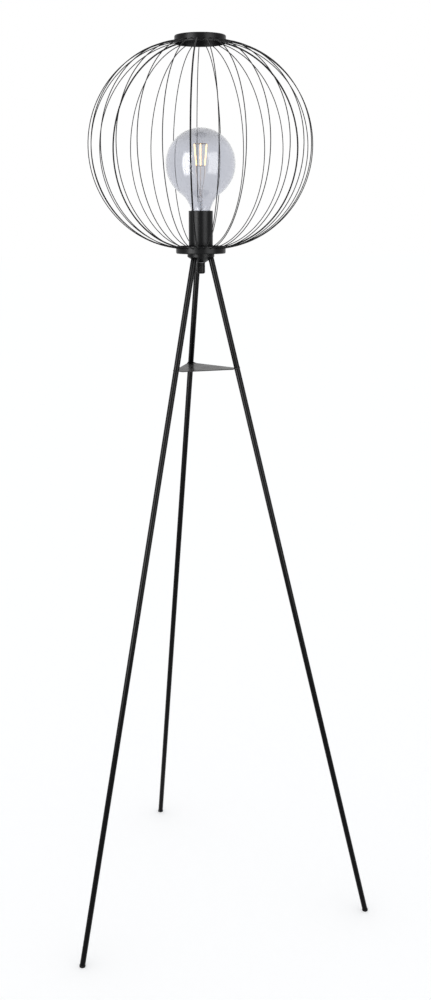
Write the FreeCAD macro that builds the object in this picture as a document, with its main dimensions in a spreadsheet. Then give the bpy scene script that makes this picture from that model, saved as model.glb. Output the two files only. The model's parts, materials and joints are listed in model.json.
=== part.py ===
import FreeCAD, Part
import Sketcher
import math
import os

# Wire cage floor lamp. Millimetres, +Z up. The origin lies on the floor, on the lamp's axis.
# The back leg points along +Y, and the two front legs stand 60 degrees either side of -Y.

# Driving dimensions, each set by itself.
SIZES = {
    # legs
    "leg_splay": 13.8,
    "leg_tube_radius": 5.25,
    "leg_tube_wall": 1.0,
    "leg_seat_radius": 18.4,
    "upper_leg_length": 205.0,
    "lower_leg_length": 1128.0,
    "plug_length": 16.0,
    "stud_radius": 3.0,
    "stud_reach": 12.0,
    "hub_stud_depth": 5.0,
    # feet
    "foot_radius": 5.8,
    "foot_head": 5.6,
    "foot_rounding": 3.2,
    "foot_spigot": 12.0,
    "foot_stand": 3.6,
    # spacer plate
    "spacer_sheet": 1.5,
    "spacer_end_radius": 5.9,
    "spacer_fold_inset": 6.0,
    # hub
    "hub_radius": 24.5,
    "hub_rim": 6.0,
    "hub_depth": 15.5,
    "hub_nose_radius": 9.0,
    "hub_seat_cover": 7.0,
    # cage
    "cage_radius": 199.0,
    "wire_arc_radius": 177.0,
    "wire_diameter": 1.4,
    "rod_diameter": 2.6,
    "cage_turn": 38.0,
    "ring_radius": 45.0,
    "ring_height": 13.2,
    "ring_sheet": 1.2,
    "ring_chamfer": 1.0,
    "weld_inset": 3.6,
    # threaded stem, nut and washer
    "stem_radius": 5.0,
    "stem_bore": 3.6,
    "stem_spare": 1.5,
    "washer_radius": 8.5,
    "washer_sheet": 1.0,
    "nut_across_corners": 16.2,
    "nut_height": 4.0,
    # lampholder
    "cup_radius": 21.8,
    "cup_wall": 1.0,
    "cup_height": 74.0,
    "bracket_sheet": 1.2,
    "bracket_width": 12.0,
    "bracket_span": 28.4,
    "flange_length": 7.0,
    "holder_floor": 5.0,
    "holder_rim": 24.0,
    "holder_chamfer": 1.5,
    "sleeve_wall": 0.4,
    "sleeve_lift": 2.0,
    "sleeve_setback": 1.0,
    "bulb_seat": 36.0,
    "spring_height": 3.5,
    "spring_sheet": 0.4,
    "spring_width": 6.0,
    "spring_heel": 9.0,
    "spring_toe": 4.0,
    "terminal_length": 6.0,
    "terminal_width": 8.0,
    "terminal_height": 7.0,
    "terminal_reach": 11.0,
    "screw_radius": 1.5,
    "screw_head_radius": 2.5,
    "screw_head_height": 1.6,
    "screw_length": 5.0,
    # cord grip
    "grip_radius": 7.5,
    "grip_length": 19.4,
    "grip_rounding": 3.0,
    "grip_thread": 9.0,
    "grip_washer_radius": 8.0,
    "grip_washer_sheet": 1.0,
    "grip_screw_height": 5.0,
    # bulb
    "globe_radius": 62.3,
    "bulb_length": 180.0,
    "neck_radius": 16.5,
    "neck_curve": 47.0,
    "neck_rounding": 3.9,
    "glass_wall": 0.8,
    "glass_tuck": 5.0,
    "bulb_cap_radius": 13.1,
    "bulb_cap_lift": 5.5,
    "contact_radius": 4.8,
    "contact_height": 1.5,
    "insulator_height": 9.0,
    "pinch_height": 60.5,
    "pinch_tip": 4.0,
    "glass_stem_radius": 4.0,
    "filament_length": 38.0,
    "filament_radius": 1.2,
    "filament_start": 114.5,
    "filament_turn": 72.5,
    "lower_hoop_radius": 7.5,
    "upper_hoop_radius": 11.0,
    "support_wire_radius": 0.45,
    "mast_radius": 0.7,
    # clearances
    "fixed_gap": 0.05,
    "hole_gap": 0.1,
    "sealed_gap": 0.15,
    "screw_in_gap": 0.3,
}

ROD_COUNT = 3
WIRES_BETWEEN_RODS = 8
FILAMENT_COUNT = 4
LEG_AZIMUTHS = {"front_left": 210.0, "front_right": 330.0, "back": 90.0}
BACK_AZIMUTH = LEG_AZIMUTHS["back"]


def derived_sizes(s):
    """Heights and radii that follow from the driving dimensions."""
    d = {}
    splay = math.radians(s["leg_splay"])

    # the leg, measured along its own axis from its seat in the hub
    d["tube_bore"] = s["leg_tube_radius"] - s["leg_tube_wall"]
    d["socket_radius"] = s["leg_tube_radius"] + s["fixed_gap"]
    d["plug_radius"] = d["tube_bore"] - s["fixed_gap"]
    d["thread_bore"] = s["stud_radius"] + s["fixed_gap"]
    d["stud_hole"] = s["stud_radius"] + s["hole_gap"]
    d["hub_stud_length"] = s["hub_stud_depth"] + s["stud_reach"]
    d["spacer_stud_length"] = s["spacer_sheet"] + 2.0 * s["stud_reach"]
    d["tab_start"] = s["upper_leg_length"]
    d["lower_leg_start"] = d["tab_start"] + s["spacer_sheet"]
    d["lower_leg_end"] = d["lower_leg_start"] + s["lower_leg_length"]
    d["leg_reach"] = d["lower_leg_end"] + s["foot_stand"]
    d["seat_height"] = d["leg_reach"] * math.cos(splay)
    d["foot_edge"] = s["foot_head"] - s["foot_rounding"]
    d["foot_flat"] = s["foot_radius"] - s["foot_rounding"]
    d["floor_block_side"] = 2.0 * d["leg_reach"]

    # the spacer plate: a flat sheet, and three tabs that fold up square to the legs
    half_sheet = s["spacer_sheet"] / 2.0
    d["tab_middle"] = d["tab_start"] + half_sheet
    d["tab_bottom"] = -(s["spacer_fold_inset"] + half_sheet * math.tan(splay / 2.0))
    d["tab_side"] = s["spacer_end_radius"] * math.cos(math.pi / 6)
    d["tab_shoulder"] = s["spacer_end_radius"] * math.sin(math.pi / 6)
    d["fold_half"] = (s["spacer_end_radius"] / math.cos(math.pi / 6)
                      + s["spacer_fold_inset"] * math.tan(math.pi / 6))
    tab_radius = s["leg_seat_radius"] + d["tab_middle"] * math.sin(splay)
    tab_level = d["seat_height"] - d["tab_middle"] * math.cos(splay)
    fold_radius = (tab_radius - s["spacer_fold_inset"] * math.cos(splay)
                   + half_sheet * math.tan(splay / 2.0))
    d["sheet_level"] = tab_level - s["spacer_fold_inset"] * math.sin(splay)
    for leg, azimuth in enumerate(sorted(LEG_AZIMUTHS.values())):
        angle = math.radians(azimuth)
        for side, half in (("right", -d["fold_half"]), ("left", d["fold_half"])):
            corner = "fold_%s_%s" % (side, "first second third".split()[leg])
            d[corner + "_across"] = fold_radius * math.cos(angle) - half * math.sin(angle)
            d[corner + "_up"] = fold_radius * math.sin(angle) + half * math.cos(angle)

    # the hub and what stands on it
    d["hub_top"] = d["seat_height"] + s["hub_seat_cover"]
    d["hub_rim_bottom"] = d["hub_top"] - s["hub_rim"]
    d["hub_bottom"] = d["hub_top"] - s["hub_depth"]
    d["close_bore"] = s["stem_radius"] + s["fixed_gap"]
    d["open_bore"] = s["stem_radius"] + s["hole_gap"]

    # cage base and top cap, both pressed to one shape
    d["ring_inside"] = s["ring_radius"] - s["ring_sheet"]
    d["ring_flat"] = s["ring_radius"] - s["ring_chamfer"]
    d["pan_chamfer_top"] = d["hub_top"] + s["ring_chamfer"]
    d["pan_floor"] = d["hub_top"] + s["ring_sheet"]
    d["pan_rim"] = d["hub_top"] + s["ring_height"]

    # each wire is one arc, centred off the lamp's axis, and ends on the wall of both rings
    d["arc_offset"] = s["cage_radius"] - s["wire_arc_radius"]
    end_angle = math.acos((s["ring_radius"] - d["arc_offset"]) / s["wire_arc_radius"])
    d["arc_half_height"] = s["wire_arc_radius"] * math.sin(end_angle)
    d["arc_sweep"] = 2.0 * math.degrees(end_angle) + 1.0
    d["cage_centre"] = d["pan_rim"] - s["weld_inset"] + d["arc_half_height"]
    d["cap_rim"] = d["cage_centre"] + d["arc_half_height"] - s["weld_inset"]
    d["cap_top"] = d["cap_rim"] + s["ring_height"]
    d["cap_roof"] = d["cap_top"] - s["ring_sheet"]
    d["cap_chamfer_bottom"] = d["cap_top"] - s["ring_chamfer"]
    d["cage_height"] = d["cap_top"] - d["hub_top"]

    # square sections with the area of the round wire
    for name in ("wire", "rod"):
        half = 0.25 * math.sqrt(math.pi) * s[name + "_diameter"]
        d[name + "_half"] = half
        d[name + "_inner"] = s["wire_arc_radius"] - half
        d[name + "_outer"] = s["wire_arc_radius"] + half

    # the lampholder cup, bracket and lock nut
    d["cup_inside"] = s["cup_radius"] - s["cup_wall"]
    d["cup_floor"] = d["pan_floor"] + s["cup_wall"]
    d["cup_top"] = d["pan_floor"] + s["cup_height"]
    d["bracket_floor"] = d["cup_floor"] + s["bracket_sheet"]
    d["nut_bottom"] = d["bracket_floor"] + s["washer_sheet"]
    d["stem_top"] = d["nut_bottom"] + s["nut_height"] + s["stem_spare"]
    d["nut_circumradius"] = s["nut_across_corners"] / 2.0

    # the lampholder insert
    d["contact_bottom"] = d["cup_floor"] + s["bulb_seat"]
    d["spring_top"] = d["contact_bottom"] - s["screw_in_gap"]
    d["spring_under"] = d["spring_top"] - s["spring_sheet"]
    d["holder_inner_floor"] = d["contact_bottom"] - s["spring_height"]
    d["spring_foot_top"] = d["holder_inner_floor"] + s["spring_sheet"]
    d["holder_bottom"] = d["holder_inner_floor"] - s["holder_floor"]
    d["holder_top"] = d["contact_bottom"] + s["holder_rim"]
    d["holder_radius"] = d["cup_inside"] - s["sealed_gap"]
    d["holder_chamfer_bottom"] = d["holder_top"] - s["holder_chamfer"]
    d["holder_top_radius"] = d["holder_radius"] - s["holder_chamfer"]
    d["sleeve_inside"] = s["bulb_cap_radius"] + s["screw_in_gap"]
    d["sleeve_outside"] = d["sleeve_inside"] + s["sleeve_wall"]
    d["sleeve_bottom"] = d["holder_inner_floor"] + s["sleeve_lift"]
    d["sleeve_top"] = d["holder_top"] - s["sleeve_setback"]
    d["holder_bore"] = d["sleeve_outside"] + s["fixed_gap"]
    d["spring_knee"] = s["spring_heel"] / 2.0
    d["spring_rise"] = s["spring_heel"] / 4.0
    d["bracket_top_under"] = d["holder_bottom"] - s["bracket_sheet"]
    d["bracket_outside"] = s["bracket_span"] / 2.0
    d["bracket_inside"] = d["bracket_outside"] - s["bracket_sheet"]
    d["flange_inside"] = d["bracket_outside"] - s["flange_length"]
    d["flange_middle"] = (d["bracket_inside"] + d["flange_inside"]) / 2.0
    d["terminal_bottom"] = d["holder_bottom"] - s["terminal_height"]
    d["screw_shank"] = s["screw_length"] + s["screw_head_height"] / 2.0
    d["terminal_tapping"] = s["screw_length"] + s["hole_gap"]
    d["holder_tapping"] = d["terminal_tapping"] - s["bracket_sheet"]
    d["bracket_drill"] = 2.0 * s["bracket_sheet"]
    d["spacer_drill"] = 2.0 * s["spacer_sheet"]
    d["screw_hole"] = s["screw_radius"] + s["fixed_gap"]
    d["flange_hole"] = s["screw_radius"] + s["hole_gap"]

    # the cord grip
    d["grip_top"] = d["hub_bottom"] - s["grip_washer_sheet"]
    d["grip_bottom"] = d["grip_top"] - s["grip_length"]
    d["grip_round_top"] = d["grip_bottom"] + s["grip_rounding"]
    d["grip_tip_radius"] = s["grip_radius"] - s["grip_rounding"]
    d["grip_step"] = d["grip_top"] - s["grip_thread"]
    d["stem_bottom"] = d["grip_step"] + s["sealed_gap"]
    d["grip_screw_level"] = d["grip_bottom"] + s["grip_screw_height"]
    d["grip_screw_inner"] = s["stem_bore"] + s["sealed_gap"]
    d["grip_screw_length"] = s["grip_radius"] - d["grip_screw_inner"]

    # the bulb: globe, reverse curve into the neck, neck rounded down to its cap
    d["globe_centre"] = d["contact_bottom"] + s["bulb_length"] - s["globe_radius"]
    d["globe_top"] = d["globe_centre"] + s["globe_radius"]
    curve_radius = s["neck_radius"] + s["neck_curve"]
    spread = s["globe_radius"] + s["neck_curve"]
    drop = math.sqrt(spread ** 2 - curve_radius ** 2)
    inner_globe = s["globe_radius"] - s["glass_wall"]
    d["inner_globe"] = inner_globe
    d["inner_neck_curve"] = s["neck_curve"] + s["glass_wall"]
    d["inner_globe_top"] = d["globe_centre"] + inner_globe
    d["shoulder_radius"] = s["globe_radius"] * curve_radius / spread
    d["shoulder_height"] = d["globe_centre"] - s["globe_radius"] * drop / spread
    d["inner_shoulder_radius"] = inner_globe * curve_radius / spread
    d["inner_shoulder_height"] = d["globe_centre"] - inner_globe * drop / spread
    d["neck_height"] = d["globe_centre"] - drop
    d["inner_neck"] = s["neck_radius"] - s["glass_wall"]
    d["tuck_radius"] = s["neck_radius"] - s["neck_rounding"]
    d["inner_tuck_radius"] = d["tuck_radius"] - s["glass_wall"]
    d["inner_rounding"] = s["neck_rounding"] - s["glass_wall"]
    d["tuck_top"] = d["neck_height"] - s["neck_rounding"]
    d["inner_tuck_top"] = d["tuck_top"] + s["glass_wall"]
    d["glass_bottom"] = d["tuck_top"] - s["glass_tuck"]

    # bulb cap, insulator and contact
    d["bulb_cap_top"] = d["tuck_top"] - s["hole_gap"]
    d["bulb_cap_bottom"] = d["contact_bottom"] + s["bulb_cap_lift"]
    d["bulb_cap_inside"] = d["tuck_radius"] + s["sealed_gap"]
    d["contact_top"] = d["contact_bottom"] + s["contact_height"]
    d["contact_bevel_radius"] = s["contact_radius"] / 2.0
    d["contact_bevel_top"] = d["contact_bottom"] + s["contact_height"] / 2.0
    d["insulator_top"] = d["contact_bottom"] + s["insulator_height"]
    d["insulator_radius"] = d["bulb_cap_inside"] - s["fixed_gap"]
    d["insulator_tip"] = s["contact_radius"] + s["contact_height"]

    # glass stem, mast, hoops and filaments
    d["pinch_level"] = d["contact_bottom"] + s["pinch_height"]
    d["pinch_top"] = d["pinch_level"] + s["pinch_tip"]
    d["flare_radius"] = d["inner_tuck_radius"] - s["sealed_gap"]
    d["flare_top"] = d["tuck_top"] + s["neck_rounding"]
    d["pinch_radius"] = s["glass_stem_radius"] / 2.0
    run_out = s["upper_hoop_radius"] - s["lower_hoop_radius"]
    rise = math.sqrt(s["filament_length"] ** 2 - run_out ** 2)
    d["lower_hoop_height"] = d["contact_bottom"] + s["filament_start"]
    d["upper_hoop_height"] = d["lower_hoop_height"] + rise
    for hoop in ("lower_hoop", "upper_hoop"):
        d[hoop + "_inside"] = s[hoop + "_radius"] - s["support_wire_radius"]
        d[hoop + "_outside"] = s[hoop + "_radius"] + s["support_wire_radius"]
        d[hoop + "_bottom"] = d[hoop + "_height"] - s["support_wire_radius"]
        d[hoop + "_top"] = d[hoop + "_height"] + s["support_wire_radius"]
    return d


size = dict(SIZES)
size.update(derived_sizes(SIZES))

doc = FreeCAD.newDocument("wire_cage_floor_lamp")
sheet = doc.addObject("Spreadsheet::Sheet", "dims")
for row, (alias, number) in enumerate(size.items(), start=1):
    sheet.set("A%d" % row, alias)
    sheet.set("B%d" % row, repr(float(number)))
    sheet.setAlias("B%d" % row, alias)
doc.recompute()

V = FreeCAD.Vector
Z_AXIS = V(0, 0, 1)
X_AXIS = V(1, 0, 0)
nodes = []


def value(term):
    """The number behind a named size; a leading minus turns its sign."""
    if term == 0:
        return 0.0
    if term.startswith("-"):
        return -size[term[1:]]
    return size[term]


def formula(term):
    """The sheet expression for a named size."""
    if term.startswith("-"):
        return "-dims." + term[1:]
    return "dims." + term


def keep(thing, name):
    """Make an object one of the lamp's named pieces."""
    thing.Label = name
    nodes.append(thing)
    return thing


def own_plane(body, role):
    return [part for part in body.Origin.OriginFeatures if part.Role == role][0]


def arc_between(start, end, radius, side):
    """Arc from start to end; side 1 has its centre on the left of the chord, -1 on the right."""
    chord = end - start
    half = chord.Length / 2.0
    left = V(-chord.y, chord.x, 0).normalize()
    centre = (start + end) * 0.5 + left * (side * math.sqrt(max(radius ** 2 - half ** 2, 0.0)))
    first, last = (start, end) if side > 0 else (end, start)
    first_angle = math.atan2(first.y - centre.y, first.x - centre.x)
    last_angle = math.atan2(last.y - centre.y, last.x - centre.x)
    if last_angle < first_angle:
        last_angle += 2.0 * math.pi
    return Part.ArcOfCircle(Part.Circle(centre, Z_AXIS, radius), first_angle, last_angle)


def bind_constraint(sketch, index, name, term):
    if term != 0:
        sketch.renameConstraint(index, name)
        sketch.setExpression("Constraints." + name, formula(term))


def outline_sketch(body, role, outline):
    """A closed sketch. Each entry is (x, y), or (x, y, radius, side) when an arc leads to it."""
    sketch = body.newObject("Sketcher::SketchObject", body.Name + "_outline")
    sketch.AttachmentSupport = [(own_plane(body, role), "")]
    sketch.MapMode = "FlatFace"
    corners = [V(value(entry[0]), value(entry[1]), 0) for entry in outline]
    count = len(outline)
    ends = []
    for i in range(count):
        following = outline[(i + 1) % count]
        start, end = corners[i], corners[(i + 1) % count]
        if len(following) == 4:
            radius, side = following[2], following[3]
            edge = sketch.addGeometry(arc_between(start, end, value(radius), side), False)
            ends.append((edge, 1, 2) if side > 0 else (edge, 2, 1))
        else:
            edge = sketch.addGeometry(Part.LineSegment(start, end), False)
            ends.append((edge, 1, 2))
    for i in range(count):
        edge, first, last = ends[i]
        next_edge, next_first, _ = ends[(i + 1) % count]
        sketch.addConstraint(Sketcher.Constraint("Coincident", edge, last, next_edge, next_first))
    for i in range(count):
        edge, first, _ = ends[i]
        across, up = outline[i][0], outline[i][1]
        index = sketch.addConstraint(
            Sketcher.Constraint("DistanceX", -1, 1, edge, first, value(across)))
        bind_constraint(sketch, index, "across%d" % i, across)
        index = sketch.addConstraint(
            Sketcher.Constraint("DistanceY", -1, 1, edge, first, value(up)))
        bind_constraint(sketch, index, "up%d" % i, up)
        following = outline[(i + 1) % count]
        if len(following) == 4:
            index = sketch.addConstraint(
                Sketcher.Constraint("Radius", edge, value(following[2])))
            bind_constraint(sketch, index, "radius%d" % i, following[2])
    return sketch


def turned(name, outline, angle=360.0):
    """A piece turned about its own Z axis; the outline is (radius, height)."""
    body = doc.addObject("PartDesign::Body", name)
    sketch = outline_sketch(body, "XZ_Plane", outline)
    turn = body.newObject("PartDesign::Revolution", name + "_turn")
    turn.Profile = sketch
    turn.ReferenceAxis = (sketch, ["V_Axis"])
    turn.Angle = angle
    sketch.Visibility = False
    return body


def ring(name, inside, outside, bottom, top):
    """A plain tube or washer between two heights."""
    return turned(name, [(inside, bottom), (outside, bottom), (outside, top), (inside, top)])


def extruded(name, role, outline, width):
    """A constant section, padded half each way from its own plane."""
    body = doc.addObject("PartDesign::Body", name)
    sketch = outline_sketch(body, role, outline)
    pad = body.newObject("PartDesign::Pad", name + "_pad")
    pad.Profile = sketch
    pad.setExpression("Length", formula(width))
    pad.Midplane = True
    sketch.Visibility = False
    return body


def cylinder(name, radius, length, placement):
    rod = doc.addObject("Part::Cylinder", name)
    rod.setExpression("Radius", formula(radius))
    rod.setExpression("Height", formula(length))
    rod.Placement = placement
    return rod


def cut(name, base, tool):
    result = doc.addObject("Part::Cut", name)
    result.Base = base
    result.Tool = tool
    return result


def joined(name, pieces):
    result = doc.addObject("Part::MultiFuse", name)
    result.Shapes = pieces
    return result


def grouped(name, pieces):
    result = doc.addObject("Part::Compound", name)
    result.Links = pieces
    return result


def at(x, y, z, rotation=None):
    return FreeCAD.Placement(V(x, y, z), rotation or FreeCAD.Rotation())


def leg_place(azimuth, along):
    """The frame of a leg: its Z runs down the leg, its X rises outwards, along from the hub seat."""
    splay = math.radians(size["leg_splay"])
    reach = size["leg_seat_radius"] + along * math.sin(splay)
    level = size["seat_height"] - along * math.cos(splay)
    turn = FreeCAD.Rotation(Z_AXIS, azimuth)
    tilt = FreeCAD.Rotation(V(0, 1, 0), 180.0 - size["leg_splay"])
    tilt = tilt.multiply(FreeCAD.Rotation(Z_AXIS, 180.0))
    where = turn.multVec(V(reach, 0, level))
    return FreeCAD.Placement(where, turn.multiply(tilt))


def repeated(name, master, placements):
    """Separate copies of one finished piece, which no single body can hold."""
    doc.recompute()
    copies = []
    for placement in placements:
        shape = master.Shape.copy()
        shape.Placement = placement.multiply(shape.Placement)
        copies.append(shape)
    group = doc.addObject("Part::Feature", name)
    group.Shape = Part.makeCompound(copies)
    return keep(group, name)


# ---------------------------------------------------------------- cage

def pressed_ring(name, outline):
    return keep(turned(name, outline), name)


def make_cage_rings():
    pressed_ring("cage_base", [
        ("open_bore", "hub_top"),
        ("ring_flat", "hub_top"),
        ("ring_radius", "pan_chamfer_top"),
        ("ring_radius", "pan_rim"),
        ("ring_inside", "pan_rim"),
        ("ring_inside", "pan_floor"),
        ("open_bore", "pan_floor"),
    ])
    pressed_ring("top_cap", [
        (0, "cap_roof"),
        ("ring_inside", "cap_roof"),
        ("ring_inside", "cap_rim"),
        ("ring_radius", "cap_rim"),
        ("ring_radius", "cap_chamfer_bottom"),
        ("ring_flat", "cap_top"),
        (0, "cap_top"),
    ])


def bowed_wire(name, kind, core):
    """One wire, bowed on its arc and coped to the wall of both rings."""
    body = doc.addObject("PartDesign::Body", name + "_blank")
    half = kind + "_half"
    sketch = outline_sketch(body, "XY_Plane", [
        (kind + "_inner", "-" + half),
        (kind + "_outer", "-" + half),
        (kind + "_outer", half),
        (kind + "_inner", half),
    ])
    bend = body.newObject("PartDesign::Revolution", name + "_bend")
    bend.Profile = sketch
    bend.ReferenceAxis = (sketch, ["V_Axis"])
    bend.setExpression("Angle", "dims.arc_sweep")
    bend.Midplane = True
    body.setExpression("Placement.Base.x", "dims.arc_offset")
    body.setExpression("Placement.Base.z", "dims.cage_centre")
    return cut(name + "_coped", body, core)


def make_cage_wires():
    core = cylinder("ring_core", "ring_radius", "cage_height", at(0, 0, 0))
    core.setExpression("Placement.Base.z", "dims.hub_top")
    slots = ROD_COUNT * (WIRES_BETWEEN_RODS + 1)
    rod_places = []
    wire_places = []
    for slot in range(slots):
        azimuth = BACK_AZIMUTH + size["cage_turn"] + slot * 360.0 / slots
        place = at(0, 0, 0, FreeCAD.Rotation(Z_AXIS, azimuth))
        is_rod = slot % (WIRES_BETWEEN_RODS + 1) == 0
        (rod_places if is_rod else wire_places).append(place)
    repeated("cage_rods", bowed_wire("rod", "rod", core), rod_places)
    repeated("cage_wires", bowed_wire("wire", "wire", core), wire_places)


# ---------------------------------------------------------------- hub and legs

def leg_cutters(name, radius, length, start):
    """Round cutters down the three leg axes, from a distance along each leg."""
    cutters = []
    for side, azimuth in LEG_AZIMUTHS.items():
        cutters.append(cylinder(name + "_" + side, radius, length, leg_place(azimuth, start)))
    return cutters


def make_hub():
    blank = turned("hub_blank", [
        ("close_bore", "hub_bottom"),
        ("hub_nose_radius", "hub_bottom"),
        ("hub_radius", "hub_rim_bottom"),
        ("hub_radius", "hub_top"),
        ("close_bore", "hub_top"),
    ])
    sockets = leg_cutters("hub_socket", "socket_radius", "hub_depth", 0.0)
    threads = leg_cutters("hub_thread", "thread_bore", "hub_depth", -size["hub_stud_depth"])
    keep(cut("hub", blank, joined("hub_cutters", sockets + threads)), "hub")


def leg_tube(name, azimuth, start, length):
    body = doc.addObject("PartDesign::Body", name)
    sketch = body.newObject("Sketcher::SketchObject", name + "_section")
    sketch.AttachmentSupport = [(own_plane(body, "XY_Plane"), "")]
    sketch.MapMode = "FlatFace"
    for i, radius in enumerate(("leg_tube_radius", "tube_bore")):
        circle = Part.Circle(V(0, 0, 0), Z_AXIS, value(radius))
        edge = sketch.addGeometry(circle, False)
        sketch.addConstraint(Sketcher.Constraint("Coincident", edge, 3, -1, 1))
        index = sketch.addConstraint(Sketcher.Constraint("Radius", edge, value(radius)))
        bind_constraint(sketch, index, "radius%d" % i, radius)
    pad = body.newObject("PartDesign::Pad", name + "_pad")
    pad.Profile = sketch
    pad.setExpression("Length", formula(length))
    body.Placement = leg_place(azimuth, start)
    return keep(body, name)


def make_foot(side, azimuth, floor_block):
    blank = turned("foot_blank_" + side, [
        (0, "-foot_spigot"),
        ("plug_radius", "-foot_spigot"),
        ("plug_radius", 0),
        ("foot_radius", 0),
        ("foot_radius", "foot_edge"),
        ("foot_flat", "foot_head", "foot_rounding", 1),
        (0, "foot_head"),
    ])
    blank.Placement = leg_place(azimuth, size["lower_leg_end"])
    name = "foot_cap_" + side
    keep(cut(name, blank, floor_block), name)


def make_legs():
    floor_block = doc.addObject("Part::Box", "floor_block")
    for side, axis in (("Length", "x"), ("Width", "y")):
        floor_block.setExpression(side, "dims.floor_block_side")
        floor_block.setExpression("Placement.Base." + axis, "-dims.leg_reach")
    floor_block.setExpression("Height", "dims.foot_head")
    floor_block.setExpression("Placement.Base.z", "-dims.foot_head")
    for side, azimuth in LEG_AZIMUTHS.items():
        leg_tube("upper_leg_" + side, azimuth, 0.0, "upper_leg_length")
        leg_tube("lower_leg_" + side, azimuth, size["lower_leg_start"], "lower_leg_length")
        make_foot(side, azimuth, floor_block)


def make_leg_joints():
    """Threaded plugs in the tube ends, and the studs that screw into them."""
    plug = ring("plug_blank", "thread_bore", "plug_radius", 0, "plug_length")
    plug_starts = (0.0, size["tab_start"] - size["plug_length"], size["lower_leg_start"])
    places = [leg_place(azimuth, start)
              for azimuth in LEG_AZIMUTHS.values() for start in plug_starts]
    repeated("leg_plugs", plug, places)

    hub_stud_start = -size["hub_stud_depth"]
    hub_studs = leg_cutters("hub_stud", "stud_radius", "hub_stud_length", hub_stud_start)
    keep(grouped("hub_studs", hub_studs), "hub_studs")
    spacer_start = size["tab_start"] - size["stud_reach"]
    spacer_studs = leg_cutters("spacer_stud", "stud_radius", "spacer_stud_length", spacer_start)
    keep(grouped("spacer_studs", spacer_studs), "spacer_studs")


def make_spacer():
    """A flat six-sided sheet whose three short edges fold up into the leg tabs."""
    corners = ["fold_%s_%s" % (side, leg)
               for leg in ("first", "second", "third") for side in ("right", "left")]
    flat = extruded("spacer_flat", "XY_Plane",
                    [(corner + "_across", corner + "_up") for corner in corners], "spacer_sheet")
    flat.setExpression("Placement.Base.z", "dims.sheet_level")
    pads = [flat]
    for side, azimuth in LEG_AZIMUTHS.items():
        tab = extruded("spacer_tab_" + side, "XY_Plane", [
            ("tab_bottom", "fold_half"),
            ("tab_bottom", "-fold_half"),
            ("tab_shoulder", "-tab_side"),
            ("tab_shoulder", "tab_side", "spacer_end_radius", 1),
        ], "spacer_sheet")
        tab.Placement = leg_place(azimuth, size["tab_middle"])
        pads.append(tab)
    holes = leg_cutters("spacer_hole", "stud_hole", "spacer_drill",
                        size["tab_start"] - size["spacer_sheet"] / 2.0)
    sheet_metal = joined("spacer_blank", pads)
    keep(cut("spacer_plate", sheet_metal, joined("spacer_holes", holes)), "spacer_plate")


# ---------------------------------------------------------------- stem, nut and cord grip

def make_stem():
    keep(ring("stem", "stem_bore", "stem_radius", "stem_bottom", "stem_top"), "stem")
    keep(ring("lock_washer", "open_bore", "washer_radius", "bracket_floor", "nut_bottom"),
         "lock_washer")
    blank = doc.addObject("Part::Prism", "nut_blank")
    blank.Polygon = 6
    blank.setExpression("Circumradius", "dims.nut_circumradius")
    blank.setExpression("Height", "dims.nut_height")
    blank.setExpression("Placement.Base.z", "dims.nut_bottom")
    bore = cylinder("nut_bore", "close_bore", "nut_height", at(0, 0, 0))
    bore.setExpression("Placement.Base.z", "dims.nut_bottom")
    keep(cut("lock_nut", blank, bore), "lock_nut")


def make_cord_grip():
    keep(ring("cord_grip_washer", "open_bore", "grip_washer_radius", "grip_top", "hub_bottom"),
         "cord_grip_washer")
    blank = turned("grip_blank", [
        ("stem_bore", "grip_bottom"),
        ("grip_tip_radius", "grip_bottom"),
        ("grip_radius", "grip_round_top", "grip_rounding", 1),
        ("grip_radius", "grip_top"),
        ("close_bore", "grip_top"),
        ("close_bore", "grip_step"),
        ("stem_bore", "grip_step"),
    ])
    backwards = FreeCAD.Rotation(X_AXIS, -90.0)
    tapped = cylinder("grip_tapping", "screw_hole", "grip_radius",
                      at(0, 0, size["grip_screw_level"], backwards))
    keep(cut("cord_grip", blank, tapped), "cord_grip")
    screw = cylinder("cord_grip_screw", "screw_radius", "grip_screw_length",
                     at(0, size["grip_screw_inner"], size["grip_screw_level"], backwards))
    keep(screw, "cord_grip_screw")


# ---------------------------------------------------------------- lampholder

def make_cup():
    keep(turned("socket_cup", [
        ("open_bore", "pan_floor"),
        ("cup_radius", "pan_floor"),
        ("cup_radius", "cup_top"),
        ("cup_inside", "cup_top"),
        ("cup_inside", "cup_floor"),
        ("open_bore", "cup_floor"),
    ]), "socket_cup")


def bracket_screw_axes():
    return [(0.0, side * size["flange_middle"]) for side in (-1, 1)]


def terminal_axes():
    return [(side * size["terminal_reach"], 0.0) for side in (-1, 1)]


def upright_cutters(name, radius, length, axes, bottom):
    return [cylinder("%s_%d" % (name, i), radius, length, at(x, y, bottom))
            for i, (x, y) in enumerate(axes)]


def make_bracket():
    half = [
        ("bracket_outside", "cup_floor"),
        ("bracket_outside", "holder_bottom"),
        ("flange_inside", "holder_bottom"),
        ("flange_inside", "bracket_top_under"),
        ("bracket_inside", "bracket_top_under"),
        ("bracket_inside", "bracket_floor"),
    ]
    mirrored = [("-" + across, up) for across, up in reversed(half)]
    strip = extruded("bracket_strip", "YZ_Plane", half + mirrored, "bracket_width")
    stem_hole = cylinder("bracket_stem_hole", "open_bore", "bracket_drill",
                         at(0, 0, size["cup_floor"] - size["bracket_sheet"] / 2.0))
    holes = upright_cutters("bracket_hole", "flange_hole", "bracket_drill",
                            bracket_screw_axes(),
                            size["bracket_top_under"] - size["bracket_sheet"] / 2.0)
    keep(cut("socket_bracket", strip, joined("bracket_cutters", [stem_hole] + holes)),
         "socket_bracket")


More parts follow.
